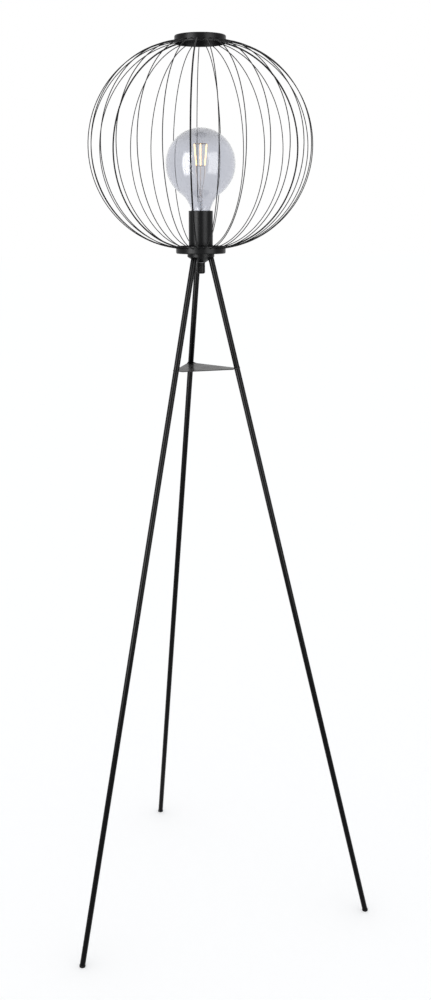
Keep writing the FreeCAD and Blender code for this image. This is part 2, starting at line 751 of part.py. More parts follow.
def make_holder():
    blank = turned("holder_blank", [
        (0, "holder_bottom"),
        ("holder_radius", "holder_bottom"),
        ("holder_radius", "holder_chamfer_bottom"),
        ("holder_top_radius", "holder_top"),
        ("holder_bore", "holder_top"),
        ("holder_bore", "holder_inner_floor"),
        (0, "holder_inner_floor"),
    ])
    tapped = upright_cutters("holder_tapping", "screw_hole", "holder_tapping",
                             bracket_screw_axes(), size["holder_bottom"])
    keep(cut("socket_body", blank, joined("holder_cutters", tapped)), "socket_body")
    keep(ring("socket_sleeve", "sleeve_inside", "sleeve_outside", "sleeve_bottom", "sleeve_top"),
         "socket_sleeve")
    keep(extruded("socket_spring", "XZ_Plane", [
        ("-spring_heel", "holder_inner_floor"),
        ("-spring_knee", "holder_inner_floor"),
        ("-spring_rise", "spring_under"),
        ("spring_toe", "spring_under"),
        ("spring_toe", "spring_top"),
        ("-spring_rise", "spring_top"),
        ("-spring_knee", "spring_foot_top"),
        ("-spring_heel", "spring_foot_top"),
    ], "spring_width"), "socket_spring")


def headed_screw(name, x, y, head_top):
    """A screw driven upwards: its head hangs below head_top and its shank rises above it."""
    head = cylinder(name + "_head", "screw_head_radius", "screw_head_height",
                    at(x, y, head_top - size["screw_head_height"]))
    shank = cylinder(name + "_shank", "screw_radius", "screw_shank",
                     at(x, y, head_top - size["screw_head_height"] / 2.0))
    return joined(name, [head, shank])


def make_holder_screws():
    screws = [headed_screw("bracket_screw_%d" % i, x, y, size["bracket_top_under"])
              for i, (x, y) in enumerate(bracket_screw_axes())]
    keep(grouped("bracket_screws", screws), "bracket_screws")
    blocks = []
    screws = []
    for i, (x, y) in enumerate(terminal_axes()):
        box = doc.addObject("Part::Box", "terminal_blank_%d" % i)
        box.setExpression("Length", "dims.terminal_length")
        box.setExpression("Width", "dims.terminal_width")
        box.setExpression("Height", "dims.terminal_height")
        box.Placement = at(x - size["terminal_length"] / 2.0, y - size["terminal_width"] / 2.0,
                           size["terminal_bottom"])
        tapped = cylinder("terminal_tapping_%d" % i, "screw_hole", "terminal_tapping",
                          at(x, y, size["terminal_bottom"]))
        blocks.append(cut("terminal_block_%d" % i, box, tapped))
        screws.append(headed_screw("terminal_screw_%d" % i, x, y, size["terminal_bottom"]))
    keep(grouped("terminal_blocks", blocks), "terminal_blocks")
    keep(grouped("terminal_screws", screws), "terminal_screws")


# ---------------------------------------------------------------- bulb

def make_bulb_glass():
    keep(turned("bulb_glass", [
        (0, "globe_top"),
        ("shoulder_radius", "shoulder_height", "globe_radius", -1),
        ("neck_radius", "neck_height", "neck_curve", 1),
        ("tuck_radius", "tuck_top", "neck_rounding", -1),
        ("tuck_radius", "glass_bottom"),
        ("inner_tuck_radius", "glass_bottom"),
        ("inner_tuck_radius", "inner_tuck_top"),
        ("tuck_radius", "inner_tuck_top"),
        ("inner_neck", "neck_height", "inner_rounding", 1),
        ("inner_shoulder_radius", "inner_shoulder_height", "inner_neck_curve", -1),
        (0, "inner_globe_top", "inner_globe", 1),
    ]), "bulb_glass")


def make_bulb_cap():
    keep(turned("bulb_cap", [
        ("bulb_cap_inside", "bulb_cap_bottom"),
        ("bulb_cap_radius", "bulb_cap_bottom"),
        ("bulb_cap_radius", "bulb_cap_top"),
        ("bulb_cap_inside", "bulb_cap_top"),
    ]), "bulb_cap")
    keep(turned("bulb_insulator", [
        (0, "contact_top"),
        ("insulator_tip", "contact_top"),
        ("insulator_radius", "bulb_cap_bottom"),
        ("insulator_radius", "insulator_top"),
        (0, "insulator_top"),
    ]), "bulb_insulator")
    keep(turned("bulb_contact", [
        (0, "contact_bottom"),
        ("contact_bevel_radius", "contact_bottom"),
        ("contact_radius", "contact_bevel_top"),
        ("contact_radius", "contact_top"),
        (0, "contact_top"),
    ]), "bulb_contact")


def make_bulb_stem():
    keep(turned("glass_stem", [
        (0, "glass_bottom"),
        ("flare_radius", "glass_bottom"),
        ("glass_stem_radius", "flare_top"),
        ("glass_stem_radius", "pinch_level"),
        ("pinch_radius", "pinch_top"),
        (0, "pinch_top"),
    ]), "glass_stem")


def strut(name, radius, start, end):
    """A straight round wire between two points."""
    run = end - start
    wire = doc.addObject("Part::Cylinder", name)
    wire.setExpression("Radius", formula(radius))
    wire.Height = run.Length
    wire.Placement = FreeCAD.Placement(start, FreeCAD.Rotation(Z_AXIS, run))
    return wire


def around(radius, angle, height):
    return V(radius * math.cos(angle), radius * math.sin(angle), height)


def make_filaments():
    low, high = size["lower_hoop_height"], size["upper_hoop_height"]
    wire = size["support_wire_radius"]
    first = math.radians(size["filament_turn"])
    mast = strut("mast_post", "mast_radius", V(0, 0, size["pinch_top"]), V(0, 0, high))
    spokes = []
    inner_edge = size["upper_hoop_radius"] - wire - size["fixed_gap"]
    for i in range(2):
        angle = first + i * math.pi / 2
        spokes.append(strut("mast_spoke_%d" % i, "support_wire_radius",
                            around(-inner_edge, angle, high), around(inner_edge, angle, high)))
    keep(joined("filament_mast", [mast] + spokes), "filament_mast")
    hoops = [ring(hoop, hoop + "_inside", hoop + "_outside", hoop + "_bottom", hoop + "_top")
             for hoop in ("lower_hoop", "upper_hoop")]
    keep(grouped("filament_hoops", hoops), "filament_hoops")

    strips = []
    leads = []
    for i in range(FILAMENT_COUNT):
        angle = first + i * 2.0 * math.pi / FILAMENT_COUNT
        start = around(size["lower_hoop_radius"], angle, low)
        end = around(size["upper_hoop_radius"], angle, high)
        along = (end - start).normalize()
        inset = along * (wire + size["sealed_gap"])
        strips.append(strut("filament_%d" % i, "filament_radius", start + inset, end - inset))
    for i in range(2):
        angle = first + (i + 0.5) * math.pi
        end = around(size["lower_hoop_radius"], angle, low - wire - size["sealed_gap"])
        start = around(size["mast_radius"] + 2 * wire, angle, size["pinch_top"] + size["hole_gap"])
        leads.append(strut("lead_%d" % i, "support_wire_radius", start, end))
    keep(grouped("filaments", strips), "filaments")
    keep(grouped("lead_wires", leads), "lead_wires")


make_cage_rings()
make_cage_wires()
make_hub()
make_legs()
make_leg_joints()
make_spacer()
make_stem()
make_cord_grip()
make_cup()
make_bracket()
make_holder()
make_holder_screws()
make_bulb_glass()
make_bulb_cap()
make_bulb_stem()
make_filaments()
doc.recompute()

problems = []
for thing in doc.Objects:
    if "Invalid" in thing.State or "Error" in thing.State:
        problems.append("%s is %s" % (thing.Name, thing.State))
for node in nodes:
    if node.Shape.isNull() or not node.Shape.isValid() or not node.Shape.Solids:
        problems.append("%s has no valid solid" % node.Label)
if problems:
    raise RuntimeError("; ".join(problems))

os.makedirs("parts", exist_ok=True)
for node in nodes:
    node.Shape.exportStep(os.path.join("parts", node.Label + ".step"))
    print("%-20s %3d solids  %10.1f mm3" % (node.Label, len(node.Shape.Solids), node.Shape.Volume))
print("overall height %.1f mm, %d nodes" % (size["cap_top"], len(nodes)))
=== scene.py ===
# %% [markdown]
# # A wire cage floor lamp
#
# The lamp stands on three thin steel legs. A round cage of bowed wires surrounds a clear globe bulb.
# The engineering model is already packed, with every piece in its place. This lesson gives each piece
# its look: first the camera and the light, then the finishes, then the pieces that need a finer shape.
# All sizes below are in millimetres, and one factor turns them into Blender's metres.

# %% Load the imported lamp
import json
import math

import bmesh
import bpy
from mathutils import Matrix, Vector


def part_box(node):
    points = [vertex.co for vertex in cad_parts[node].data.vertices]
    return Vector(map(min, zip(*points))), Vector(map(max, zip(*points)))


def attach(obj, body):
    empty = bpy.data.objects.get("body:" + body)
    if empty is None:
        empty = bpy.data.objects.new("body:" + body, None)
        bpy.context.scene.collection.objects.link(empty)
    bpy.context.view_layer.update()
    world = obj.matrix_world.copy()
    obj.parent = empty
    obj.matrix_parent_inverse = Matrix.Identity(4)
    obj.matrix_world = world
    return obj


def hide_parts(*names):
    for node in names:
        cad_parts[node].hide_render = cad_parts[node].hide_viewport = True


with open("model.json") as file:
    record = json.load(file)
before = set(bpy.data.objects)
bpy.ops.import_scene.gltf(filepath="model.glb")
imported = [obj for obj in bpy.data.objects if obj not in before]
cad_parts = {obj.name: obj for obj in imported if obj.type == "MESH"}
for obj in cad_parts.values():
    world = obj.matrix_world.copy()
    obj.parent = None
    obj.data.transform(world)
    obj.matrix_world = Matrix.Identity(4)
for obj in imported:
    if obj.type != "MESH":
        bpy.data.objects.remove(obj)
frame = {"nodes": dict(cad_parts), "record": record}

MM = 0.001
FULL_TURN = 2 * math.pi
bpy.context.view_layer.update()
print("nodes:", len(frame["nodes"]))

# %% [markdown]
# ## The camera
#
# The photograph was taken from about two metres away, a little below the bulb, with the camera tipped
# down by 14 degrees. It stands left of the plane through the back leg. The lens and the distance were
# found by matching the feet, the plate and the cage, so nothing has to be nudged by eye here.

# %% Place the camera
CAMERA_DISTANCE = 2111.7
CAMERA_HEIGHT = 1386.7
CAMERA_AZIMUTH = math.radians(-17.34)
CAMERA_PITCH = 0.2492
CAMERA_ROLL = -0.0037
LENS = 40.971
LENS_SHIFT = (0.0137, -0.0025)


def in_scene(name, data):
    """A new object that holds the data, linked to the scene."""
    thing = bpy.data.objects.new(name, data)
    bpy.context.scene.collection.objects.link(thing)
    return thing


camera_data = bpy.data.cameras.new("photo_camera")
camera_data.sensor_width = 36.0
camera_data.lens = LENS
camera_data.shift_x, camera_data.shift_y = LENS_SHIFT
camera = in_scene("photo_camera", camera_data)
place = Matrix.Translation((CAMERA_DISTANCE * math.sin(CAMERA_AZIMUTH) * MM,
                            -CAMERA_DISTANCE * math.cos(CAMERA_AZIMUTH) * MM,
                            CAMERA_HEIGHT * MM))
swing = Matrix.Rotation(CAMERA_AZIMUTH, 4, "Z")
tip = Matrix.Rotation(math.pi / 2 - CAMERA_PITCH, 4, "X")
roll = Matrix.Rotation(CAMERA_ROLL, 4, "Z")
camera.matrix_world = place @ swing @ tip @ roll
bpy.context.scene.camera = camera
bpy.context.scene.view_settings.view_transform = "Standard"
print("camera at", tuple(round(v, 3) for v in camera.location))

# %% [markdown]
# ## The studio
#
# Lights, backgrounds and materials are all made of nodes in Blender. A node is added to a tree, its
# options are set, and its inputs get a number or a link from another node. A few small helpers keep that
# short in every cell that follows.

# %% Helpers for nodes
def add_node(tree, kind, settings=(), values=()):
    """Adds a node, sets its options, then sets or links its inputs."""
    node = tree.nodes.new(kind)
    for label, setting in dict(settings).items():
        setattr(node, label, setting)
    for label, given in dict(values).items():
        if isinstance(given, bpy.types.NodeSocket):
            tree.links.new(given, node.inputs[label])
        else:
            node.inputs[label].default_value = given
    return node


def empty_tree(thing):
    """The node tree of a light, a world or a material, with nothing in it."""
    thing.use_nodes = True
    thing.node_tree.nodes.clear()
    return thing.node_tree


def calc(tree, operation, first, second=0.0):
    """The output of one Math node."""
    return add_node(tree, "ShaderNodeMath", {"operation": operation}, {0: first, 1: second}).outputs[0]


def remap(tree, value, low, high, first=0.0, last=1.0, kind="LINEAR"):
    """A value between low and high, stretched to run from first to last."""
    return add_node(tree, "ShaderNodeMapRange", {"interpolation_type": kind},
                    {"Value": value, "From Min": low, "From Max": high,
                     "To Min": first, "To Max": last}).outputs[0]


def combine(tree, **parts):
    """A vector with the given parts, X, Y and Z."""
    return add_node(tree, "ShaderNodeCombineXYZ", values=parts).outputs[0]


def part_of(tree, vector, axis):
    """One part of a vector."""
    return add_node(tree, "ShaderNodeSeparateXYZ", values={0: vector}).outputs[axis]


def seen_straight(tree):
    """1 for rays from the camera and rays that gloss or glass sends on, 0 for rays that light things."""
    path = add_node(tree, "ShaderNodeLightPath").outputs
    sharp = calc(tree, "MAXIMUM", path["Is Camera Ray"], path["Is Glossy Ray"])
    return calc(tree, "MAXIMUM", sharp, path["Is Transmission Ray"])


print("node helpers ready")

# %% [markdown]
# The photograph shows a white studio. Two things make a white studio in a render: what the camera sees
# behind the object, and how much light falls on the object. They are kept apart here with a Light Path
# node. Rays from the camera, and rays that reach the background through gloss or glass, see white.
# All other rays see a slightly weaker light, the same from every side.

# %% Light from all round
world = bpy.data.worlds.new("studio")
bpy.context.scene.world = world
tree = empty_tree(world)
soft_light = add_node(tree, "ShaderNodeBackground",
                      values={"Color": (0.97, 0.98, 1.0, 1.0), "Strength": 0.93})
white_wall = add_node(tree, "ShaderNodeBackground",
                      values={"Color": (1.0, 1.0, 1.0, 1.0), "Strength": 1.0})
mix = add_node(tree, "ShaderNodeMixShader",
               values={"Fac": seen_straight(tree), 1: soft_light.outputs[0], 2: white_wall.outputs[0]})
add_node(tree, "ShaderNodeOutputWorld", values={"Surface": mix.outputs[0]})
print("world strength for light:", soft_light.inputs["Strength"].default_value)

# %% [markdown]
# Two soft boxes stand half left and half right of the camera. They draw the long highlights on the black
# tubes and the pale windows in the bulb. A real soft box is bright in its middle and fades to its edge,
# so the light's own nodes fade it: Parametric gives the place on the light's face from 0 to 1. The boxes
# are left out of the diffuse light, because the studio is already as bright as it should be.

# %% Soft boxes
def soft_box(name, where, width, height, watts):
    """An area light at a place in millimetres, aimed at the bulb, that only gloss and glass show."""
    light = bpy.data.lights.new(name, "AREA")
    light.shape = "RECTANGLE"
    light.size = width * MM
    light.size_y = height * MM
    light.energy = watts
    tree = empty_tree(light)
    place = add_node(tree, "ShaderNodeNewGeometry").outputs["Parametric"]
    from_middle = add_node(tree, "ShaderNodeVectorMath", {"operation": "SUBTRACT"},
                           {0: place, 1: (0.5, 0.5, 0.0)}).outputs[0]
    sideways = calc(tree, "ABSOLUTE", part_of(tree, from_middle, "X"))
    upward = calc(tree, "ABSOLUTE", part_of(tree, from_middle, "Y"))
    fade = remap(tree, calc(tree, "MAXIMUM", sideways, upward), 0.5, 0.28, kind="SMOOTHSTEP")
    glow = add_node(tree, "ShaderNodeEmission", values={"Strength": fade})
    add_node(tree, "ShaderNodeOutputLight", values={"Surface": glow.outputs[0]})
    box = in_scene(name, light)
    aim = (Vector(BULB_MIDDLE) - where).to_track_quat("-Z", "Y")
    box.matrix_world = Matrix.Translation(where * MM) @ aim.to_matrix().to_4x4()
    box.visible_diffuse = False
    box.visible_camera = False
    box.visible_transmission = False


def seen_from_camera(side, depth, height):
    """A place given as the photographer sees it: to the right, towards the camera, and up."""
    right = Vector((math.cos(CAMERA_AZIMUTH), math.sin(CAMERA_AZIMUTH), 0))
    near = Vector((math.sin(CAMERA_AZIMUTH), -math.cos(CAMERA_AZIMUTH), 0))
    return right * side + near * depth + Vector((0, 0, height))


BULB_MIDDLE = (0, 0, 1462)
soft_box("left_box", seen_from_camera(-1130, 1130, 1450), width=1150, height=2500, watts=122)
soft_box("right_box", seen_from_camera(1080, 1180, 1500), width=1350, height=2500, watts=72)

# %% [markdown]
# The floor is a real surface, so the feet cast soft shadows on it. Its colour alone would render as a
# light grey. A weak white glow is added for rays that look at it, which lifts it to the paper white of
# the background and leaves the shadows in place.

# %% The pale floor
FLOOR_REACH = 30.0       # metres
FLOOR_LEVEL = -0.0002    # metres, just under the feet
FLOOR_COLOUR = (0.77, 0.77, 0.765, 1.0)
FLOOR_GLOW = 0.30

floor_material = bpy.data.materials.new("studio_floor")
tree = empty_tree(floor_material)
paper = add_node(tree, "ShaderNodeBsdfDiffuse", values={"Color": FLOOR_COLOUR})
glow = add_node(tree, "ShaderNodeEmission",
                values={"Strength": calc(tree, "MULTIPLY", seen_straight(tree), FLOOR_GLOW)})
both = add_node(tree, "ShaderNodeAddShader", values={0: paper.outputs[0], 1: glow.outputs[0]})
add_node(tree, "ShaderNodeOutputMaterial", values={"Surface": both.outputs[0]})

floor_mesh = bpy.data.meshes.new("floor")
floor_mesh.from_pydata([(x * FLOOR_REACH, y * FLOOR_REACH, FLOOR_LEVEL)
                        for x, y in ((-1, -1), (1, -1), (1, 1), (-1, 1))], [], [(0, 1, 2, 3)])
floor_mesh.materials.append(floor_material)
floor = in_scene("floor", floor_mesh)
print("floor reaches", FLOOR_REACH, "m each way")

# %% [markdown]
# ## Finishes
#
# A finish is more than a colour. Powder coat has a fine orange-peel surface and softer gloss where dust
# lies on it. Drawn steel has lines along its length. Several finishes share such effects, so each
# effect is built once as a node group with named inputs, and placed in every material that needs it.
# `interface.new_socket` declares what goes in and what comes out. The same helper will serve Geometry
# Nodes later, where an input may also be a whole number or a material.

# %% Helpers for node groups
FLOAT = "NodeSocketFloat"
COLOR = "NodeSocketColor"
GEOMETRY = "NodeSocketGeometry"
INPUT_KINDS = {float: FLOAT, int: "NodeSocketInt", tuple: COLOR, type(None): "NodeSocketMaterial"}


def new_group(kind, name, inputs, outputs):
    """A node group and its inputs. The start value of an input decides which kind of socket it is."""
    group = bpy.data.node_groups.new(name, kind)
    for label, start in inputs.items():
        socket = group.interface.new_socket(name=label, in_out="INPUT",
                                            socket_type=INPUT_KINDS[type(start)])
        if start is not None:
            socket.default_value = start
    for label, socket_kind in outputs.items():
        group.interface.new_socket(name=label, in_out="OUTPUT", socket_type=socket_kind)
    group.nodes.new("NodeGroupOutput").name = "out"
    return group, group.nodes.new("NodeGroupInput").outputs


def hand_out(group, **results):
    """Links results to the outputs of a group."""
    for label, socket in results.items():
        group.links.new(socket, group.nodes["out"].inputs[label])


def object_place(tree):
    """The place on the surface, in metres."""
    return add_node(tree, "ShaderNodeTexCoord").outputs["Object"]


def noise(tree, where, scale, detail):
    """A cloudy value from 0 to 1."""
    return add_node(tree, "ShaderNodeTexNoise",
                    values={"Vector": where, "Scale": scale, "Detail": detail}).outputs["Fac"]


def mix_colours(tree, share, first, second):
    """The first colour at share 0, the second at share 1."""
    return add_node(tree, "ShaderNodeMix", {"data_type": "RGBA"},
                    {0: share, 6: first, 7: second}).outputs[2]


print("group helpers ready")

# %% [markdown]
# ### Orange peel
#
# A powder coat melts and flows out into low, even waves about a millimetre apart, with a finer grain on
# top. Two noise textures of different scale give that height. The same noise also moves the roughness
# a little, because the tops of the waves are glossier.

# %% Group: orange peel
peel, given = new_group(
    "ShaderNodeTree", "orange_peel",
    {"Wave Scale": 900.0, "Grain Scale": 5200.0, "Grain Share": 0.35, "Dull": 0.5, "Gloss": 0.38},
    {"Height": FLOAT, "Roughness": FLOAT})
where = object_place(peel)
waves = noise(peel, where, given["Wave Scale"], 1.5)
grain = noise(peel, where, given["Grain Scale"], 2.0)
height = add_node(peel, "ShaderNodeMix", values={0: given["Grain Share"], 2: waves, 3: grain})
blotch = calc(peel, "MULTIPLY", noise(peel, where, 38.0, 3.0), waves)
hand_out(peel, Height=height.outputs[0],
         Roughness=remap(peel, blotch, 0.12, 0.42, given["Dull"], given["Gloss"]))
print("group:", peel.name)

# %% [markdown]
# ### Dust and handling
#
# Dust settles on what faces up. The Geometry node's Normal tells which way a surface faces, and a noise
# breaks the dust into patches. Handling leaves broad, faint smudges on the rest.

# %% Group: settled dust
dust, given = new_group(
    "ShaderNodeTree", "settled_dust",
    {"Clean": (0.02, 0.02, 0.02, 1.0), "Dusty": (0.12, 0.12, 0.13, 1.0),
     "Smudged": (0.03, 0.03, 0.033, 1.0), "Amount": 0.4},
    {"Color": COLOR})
where = object_place(dust)
normal = add_node(dust, "ShaderNodeNewGeometry").outputs["Normal"]
upward = remap(dust, part_of(dust, normal, "Z"), 0.55, 1.0)
specks = remap(dust, noise(dust, where, 420.0, 4.0), 0.42, 0.68)
settled = calc(dust, "MULTIPLY", calc(dust, "MULTIPLY", upward, specks), given["Amount"])
smears = remap(dust, noise(dust, where, 24.0, 5.0), 0.5, 0.72)
smudged = mix_colours(dust, smears, given["Clean"], given["Smudged"])
hand_out(dust, Color=mix_colours(dust, settled, smudged, given["Dusty"]))
print("group:", dust.name)

# %% [markdown]
# ### Drawn and plated metal
#
# Wire, rod and turned screws keep fine lines from the die or the tool. A noise whose coordinates are
# squeezed along one axis turns into lines along that axis. The group also stains the plating slightly.

# %% Group: drawn metal
drawn, given = new_group(
    "ShaderNodeTree", "drawn_metal",
    {"Bright": (0.7, 0.7, 0.7, 1.0), "Stained": (0.45, 0.43, 0.4, 1.0), "Across": 2600.0,
     "Along": 60.0, "Dull": 0.45, "Polished": 0.22},
    {"Color": COLOR, "Roughness": FLOAT, "Height": FLOAT})
where = object_place(drawn)
squeeze = combine(drawn, X=given["Across"], Y=given["Across"], Z=given["Along"])
stretched = add_node(drawn, "ShaderNodeVectorMath", {"operation": "MULTIPLY"}, {0: where, 1: squeeze})
lines = noise(drawn, stretched.outputs[0], 1.0, 2.0)
stains = remap(drawn, noise(drawn, where, 150.0, 5.0), 0.45, 0.75)
hand_out(drawn, Color=mix_colours(drawn, stains, given["Bright"], given["Stained"]),
         Roughness=remap(drawn, lines, 0.3, 0.7, given["Polished"], given["Dull"]), Height=lines)
print("group:", drawn.name)

# %% [markdown]
# ### From groups to materials
#
# Each material holds one Principled shader. Numbers that are the same all over, such as the metallic
# value, sit on the shader's own sockets. Only what changes over the surface comes from the groups.

# %% Material builders
def new_material(name, constants):
    """A material, its tree and its shader, with constants on the shader's own sockets."""
    material = bpy.data.materials.new(name)
    material.use_nodes = True
    shader = material.node_tree.nodes["Principled BSDF"]
    for label, number in constants.items():
        shader.inputs[label].default_value = number
    return material, material.node_tree, shader


def feed(tree, shader, **sources):
    """Links sources to the shader; Base_Color stands for Base Color."""
    for label, socket in sources.items():
        tree.links.new(socket, shader.inputs[label.replace("_", " ")])


def bump(tree, shader, height, strength, depth):
    """Turns a height into a bent normal; depth is in millimetres."""
    node = add_node(tree, "ShaderNodeBump",
                    values={"Strength": strength, "Distance": depth * MM, "Height": height})
    feed(tree, shader, Normal=node.outputs["Normal"])


def opaque(colour):
    """A colour with the fourth number that Blender's colours have."""
    return colour + (1.0,)


def coated(name, clean, dusty, smudged, dull, gloss, dust_amount, specular,
           wave=900.0, grain=5200.0, share=0.35, depth=0.02):
    """Powder coat, paint or moulded plastic: orange peel, dust and smudges."""
    material, tree, shader = new_material(name, {"Specular IOR Level": specular})
    surface = add_node(tree, "ShaderNodeGroup", {"node_tree": peel},
                       {"Dull": dull, "Gloss": gloss, "Wave Scale": wave, "Grain Scale": grain,
                        "Grain Share": share})
    colour = add_node(tree, "ShaderNodeGroup", {"node_tree": dust},
                      {"Clean": opaque(clean), "Dusty": opaque(dusty), "Smudged": opaque(smudged),
                       "Amount": dust_amount})
    feed(tree, shader, Base_Color=colour.outputs["Color"], Roughness=surface.outputs["Roughness"])
    bump(tree, shader, surface.outputs["Height"], 0.35, depth)
    return material


def metal(name, bright, stained, polished, dull, across=2600.0, along=60.0):
    """Bare or plated metal with drawn lines."""
    material, tree, shader = new_material(name, {"Metallic": 1.0})
    surface = add_node(tree, "ShaderNodeGroup", {"node_tree": drawn},
                       {"Bright": opaque(bright), "Stained": opaque(stained), "Polished": polished,
                        "Dull": dull, "Across": across, "Along": along})
    feed(tree, shader, Base_Color=surface.outputs["Color"], Roughness=surface.outputs["Roughness"])
    bump(tree, shader, surface.outputs["Height"], 0.2, 0.01)
    return material


print("material builders ready")

# %% [markdown]
# ### The lamp's finishes
#
# The steel is powder coated in satin black. The cage wires are thin, so their coat looks smoother. The
# foot caps and the cord grip are moulded plastic with a matt grain. Plated steel, brass and nickel are
# inside the lampholder and on the bulb. Each line gives the colours clean, dusty and smudged, then how
# dull and how glossy the surface gets, how much dust lies on it, and how strongly it mirrors.

# %% Make the solid finishes
powder_black = coated("satin_powder_coat", (0.0032, 0.0034, 0.0039), (0.018, 0.018, 0.020),
                      (0.0050, 0.0052, 0.0059), 0.38, 0.26, 0.45, 0.10)
# Painted shade: the leg tubes take a darker copy of the satin powder coat, for the shade on the legs.
tube_black_painted_shade = coated("tube_powder_coat_painted_shade", (0.0020, 0.0021, 0.0025), (0.010, 0.010, 0.011),
                    (0.0032, 0.0033, 0.0038), 0.30, 0.19, 0.3, 0.08, wave=1200.0, depth=0.008)
wire_black = coated("wire_powder_coat", (0.0030, 0.0031, 0.0036), (0.012, 0.012, 0.013),
                    (0.0045, 0.0046, 0.0052), 0.46, 0.32, 0.25, 0.06, wave=1500.0, depth=0.008)
foot_plastic = coated("foot_plastic", (0.0050, 0.0050, 0.0053), (0.035, 0.034, 0.033),
                      (0.0085, 0.0085, 0.0085), 0.72, 0.52, 0.6, 0.15,
                      wave=2400.0, grain=9000.0, share=0.7, depth=0.03)
grip_plastic = coated("cord_grip_plastic", (0.0040, 0.0040, 0.0043), (0.020, 0.020, 0.020),
                      (0.0065, 0.0065, 0.0068), 0.46, 0.32, 0.3, 0.10,
                      wave=2000.0, grain=8000.0, share=0.6)
holder_plastic = coated("holder_phenolic", (0.020, 0.017, 0.015), (0.10, 0.09, 0.08),
                        (0.035, 0.03, 0.027), 0.55, 0.30, 0.5, 0.5,
                        wave=700.0, grain=6000.0, share=0.25, depth=0.015)
dark_insulator = coated("vitrite_black", (0.008, 0.008, 0.012), (0.05, 0.05, 0.055),
                        (0.02, 0.02, 0.026), 0.25, 0.08, 0.2, 0.6,
                        wave=300.0, grain=2500.0, share=0.15)
zinc_steel = metal("zinc_plated_steel", (0.66, 0.67, 0.66), (0.46, 0.46, 0.43), 0.24, 0.42)
# Painted shade: a darker copy of the zinc plate, for the shade on the grip's washer.
zinc_painted_shade = metal("zinc_plate_painted_shade", (0.085, 0.086, 0.092), (0.045, 0.045, 0.047), 0.28, 0.45)
brass = metal("rolled_brass", (0.80, 0.60, 0.29), (0.50, 0.34, 0.16), 0.18, 0.38)
cap_nickel = metal("nickel_plate", (0.74, 0.71, 0.66), (0.52, 0.48, 0.42), 0.16, 0.34, 900.0, 2400.0)
solder = metal("tinned_contact", (0.60, 0.60, 0.61), (0.36, 0.36, 0.37), 0.3, 0.55, 700.0, 700.0)
support_wire = metal("support_wire_steel", (0.26, 0.21, 0.18), (0.16, 0.13, 0.11), 0.28, 0.45)
print("finishes:", len(bpy.data.materials))

# %% [markdown]
# ### Glass
#
# The bulb is a thin glass shell with a faint smoke tint. A ray that passes through the bulb crosses four
# surfaces, so the tint of each is weak. The tint deepens with height towards the crown. Small ripples
# from blowing bend the reflections slightly. The shadow of a thin bulb is nearly clear, so shadow rays
# pass through a plain transparent shader: Light Path does that in the material itself.

# %% Make the glass
def blown_glass(name, colour, crown_colour, crown_start, crown_end, ripple_scale, ripple_depth,
                shadow_colour):
    """Clear glass; the crown colour is reached between two heights in millimetres."""
    material, tree, shader = new_material(name, {"Transmission Weight": 1.0, "IOR": 1.46})
    where = object_place(tree)
    towards_crown = remap(tree, part_of(tree, where, "Z"), crown_start * MM, crown_end * MM,
                          kind="SMOOTHSTEP")
    film = remap(tree, noise(tree, where, ripple_scale * 3.0, 5.0), 0.50, 0.85, 0.01, 0.035)
    feed(tree, shader, Roughness=film,
         Base_Color=mix_colours(tree, towards_crown, opaque(colour), opaque(crown_colour)))
    bump(tree, shader, noise(tree, where, ripple_scale, 1.0), 0.25, ripple_depth)
    clear = add_node(tree, "ShaderNodeBsdfTransparent", values={"Color": opaque(shadow_colour)})
    shadow = add_node(tree, "ShaderNodeLightPath").outputs["Is Shadow Ray"]
    blend = add_node(tree, "ShaderNodeMixShader",
                     values={"Fac": shadow, 1: shader.outputs[0], 2: clear.outputs[0]})
    tree.links.new(blend.outputs[0], tree.nodes["Material Output"].inputs["Surface"])
    return material


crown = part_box("bulb_glass")[1].z / MM
bulb_clear = blown_glass("smoky_blown_glass", (0.725, 0.735, 0.775), (0.610, 0.615, 0.640),
                         crown - 36.0, crown - 2.0, 22.0, 0.06, (0.86, 0.86, 0.88))
stem_clear = blown_glass("stem_glass", (0.93, 0.94, 0.95), (0.90, 0.91, 0.92),
                         crown - 110.0, crown - 80.0, 90.0, 0.15, (0.9, 0.9, 0.9))
print("glass:", bulb_clear.name, stem_clear.name)

# %% [markdown]
# ### Glowing filament
#
# Each filament is a strip of tiny diodes under a yellow silicone coat. Lit, it glows warm white, brighter
# in beads along its length. The glow changes through a noise, and feeds Emission Color.

# %% Make the filament finish
filament_coat, tree, shader = new_material("glowing_filament",
                                           {"Roughness": 0.45, "Emission Strength": 2.0})
beads = noise(tree, object_place(tree), 900.0, 1.0)
warm = add_node(tree, "ShaderNodeValToRGB", values={"Fac": beads})
for stop, position, colour in zip(warm.color_ramp.elements, (0.3, 0.62),
                                  ((1.0, 0.54, 0.18), (1.0, 0.76, 0.36))):
    stop.position = position
    stop.color = opaque(colour)
feed(tree, shader, Emission_Color=warm.outputs["Color"], Base_Color=warm.outputs["Color"])
bump(tree, shader, beads, 0.4, 0.05)
print("filament glow:", shader.inputs["Emission Strength"].default_value)

# %% [markdown]
# ## Pieces that keep their engineering shape
#
# Small parts hidden in the legs and the lampholder are already right. They keep their mesh, and only get
# a finish. The table pairs every slot of the record with its material.

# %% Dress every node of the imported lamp
FINISHES = {
    "powder_black": powder_black, "foot_plastic": foot_plastic, "grip_plastic": grip_plastic,
    "zinc_steel": zinc_steel, "holder_plastic": holder_plastic, "brass": brass,
    "clear_glass": bulb_clear, "stem_glass": stem_clear, "cap_metal": cap_nickel,
    "contact_metal": solder, "dark_insulator": dark_insulator, "support_wire": support_wire,
    "filament_coat": filament_coat,
}
slot_of = {entry["node"]: entry["material_slot"] for entry in frame["record"]["subparts"]}
for node_name, node in frame["nodes"].items():
    node.data.materials.clear()
    node.data.materials.append(FINISHES[slot_of[node_name]])
print("dressed", len(slot_of), "nodes in", len(set(slot_of.values())), "finishes")

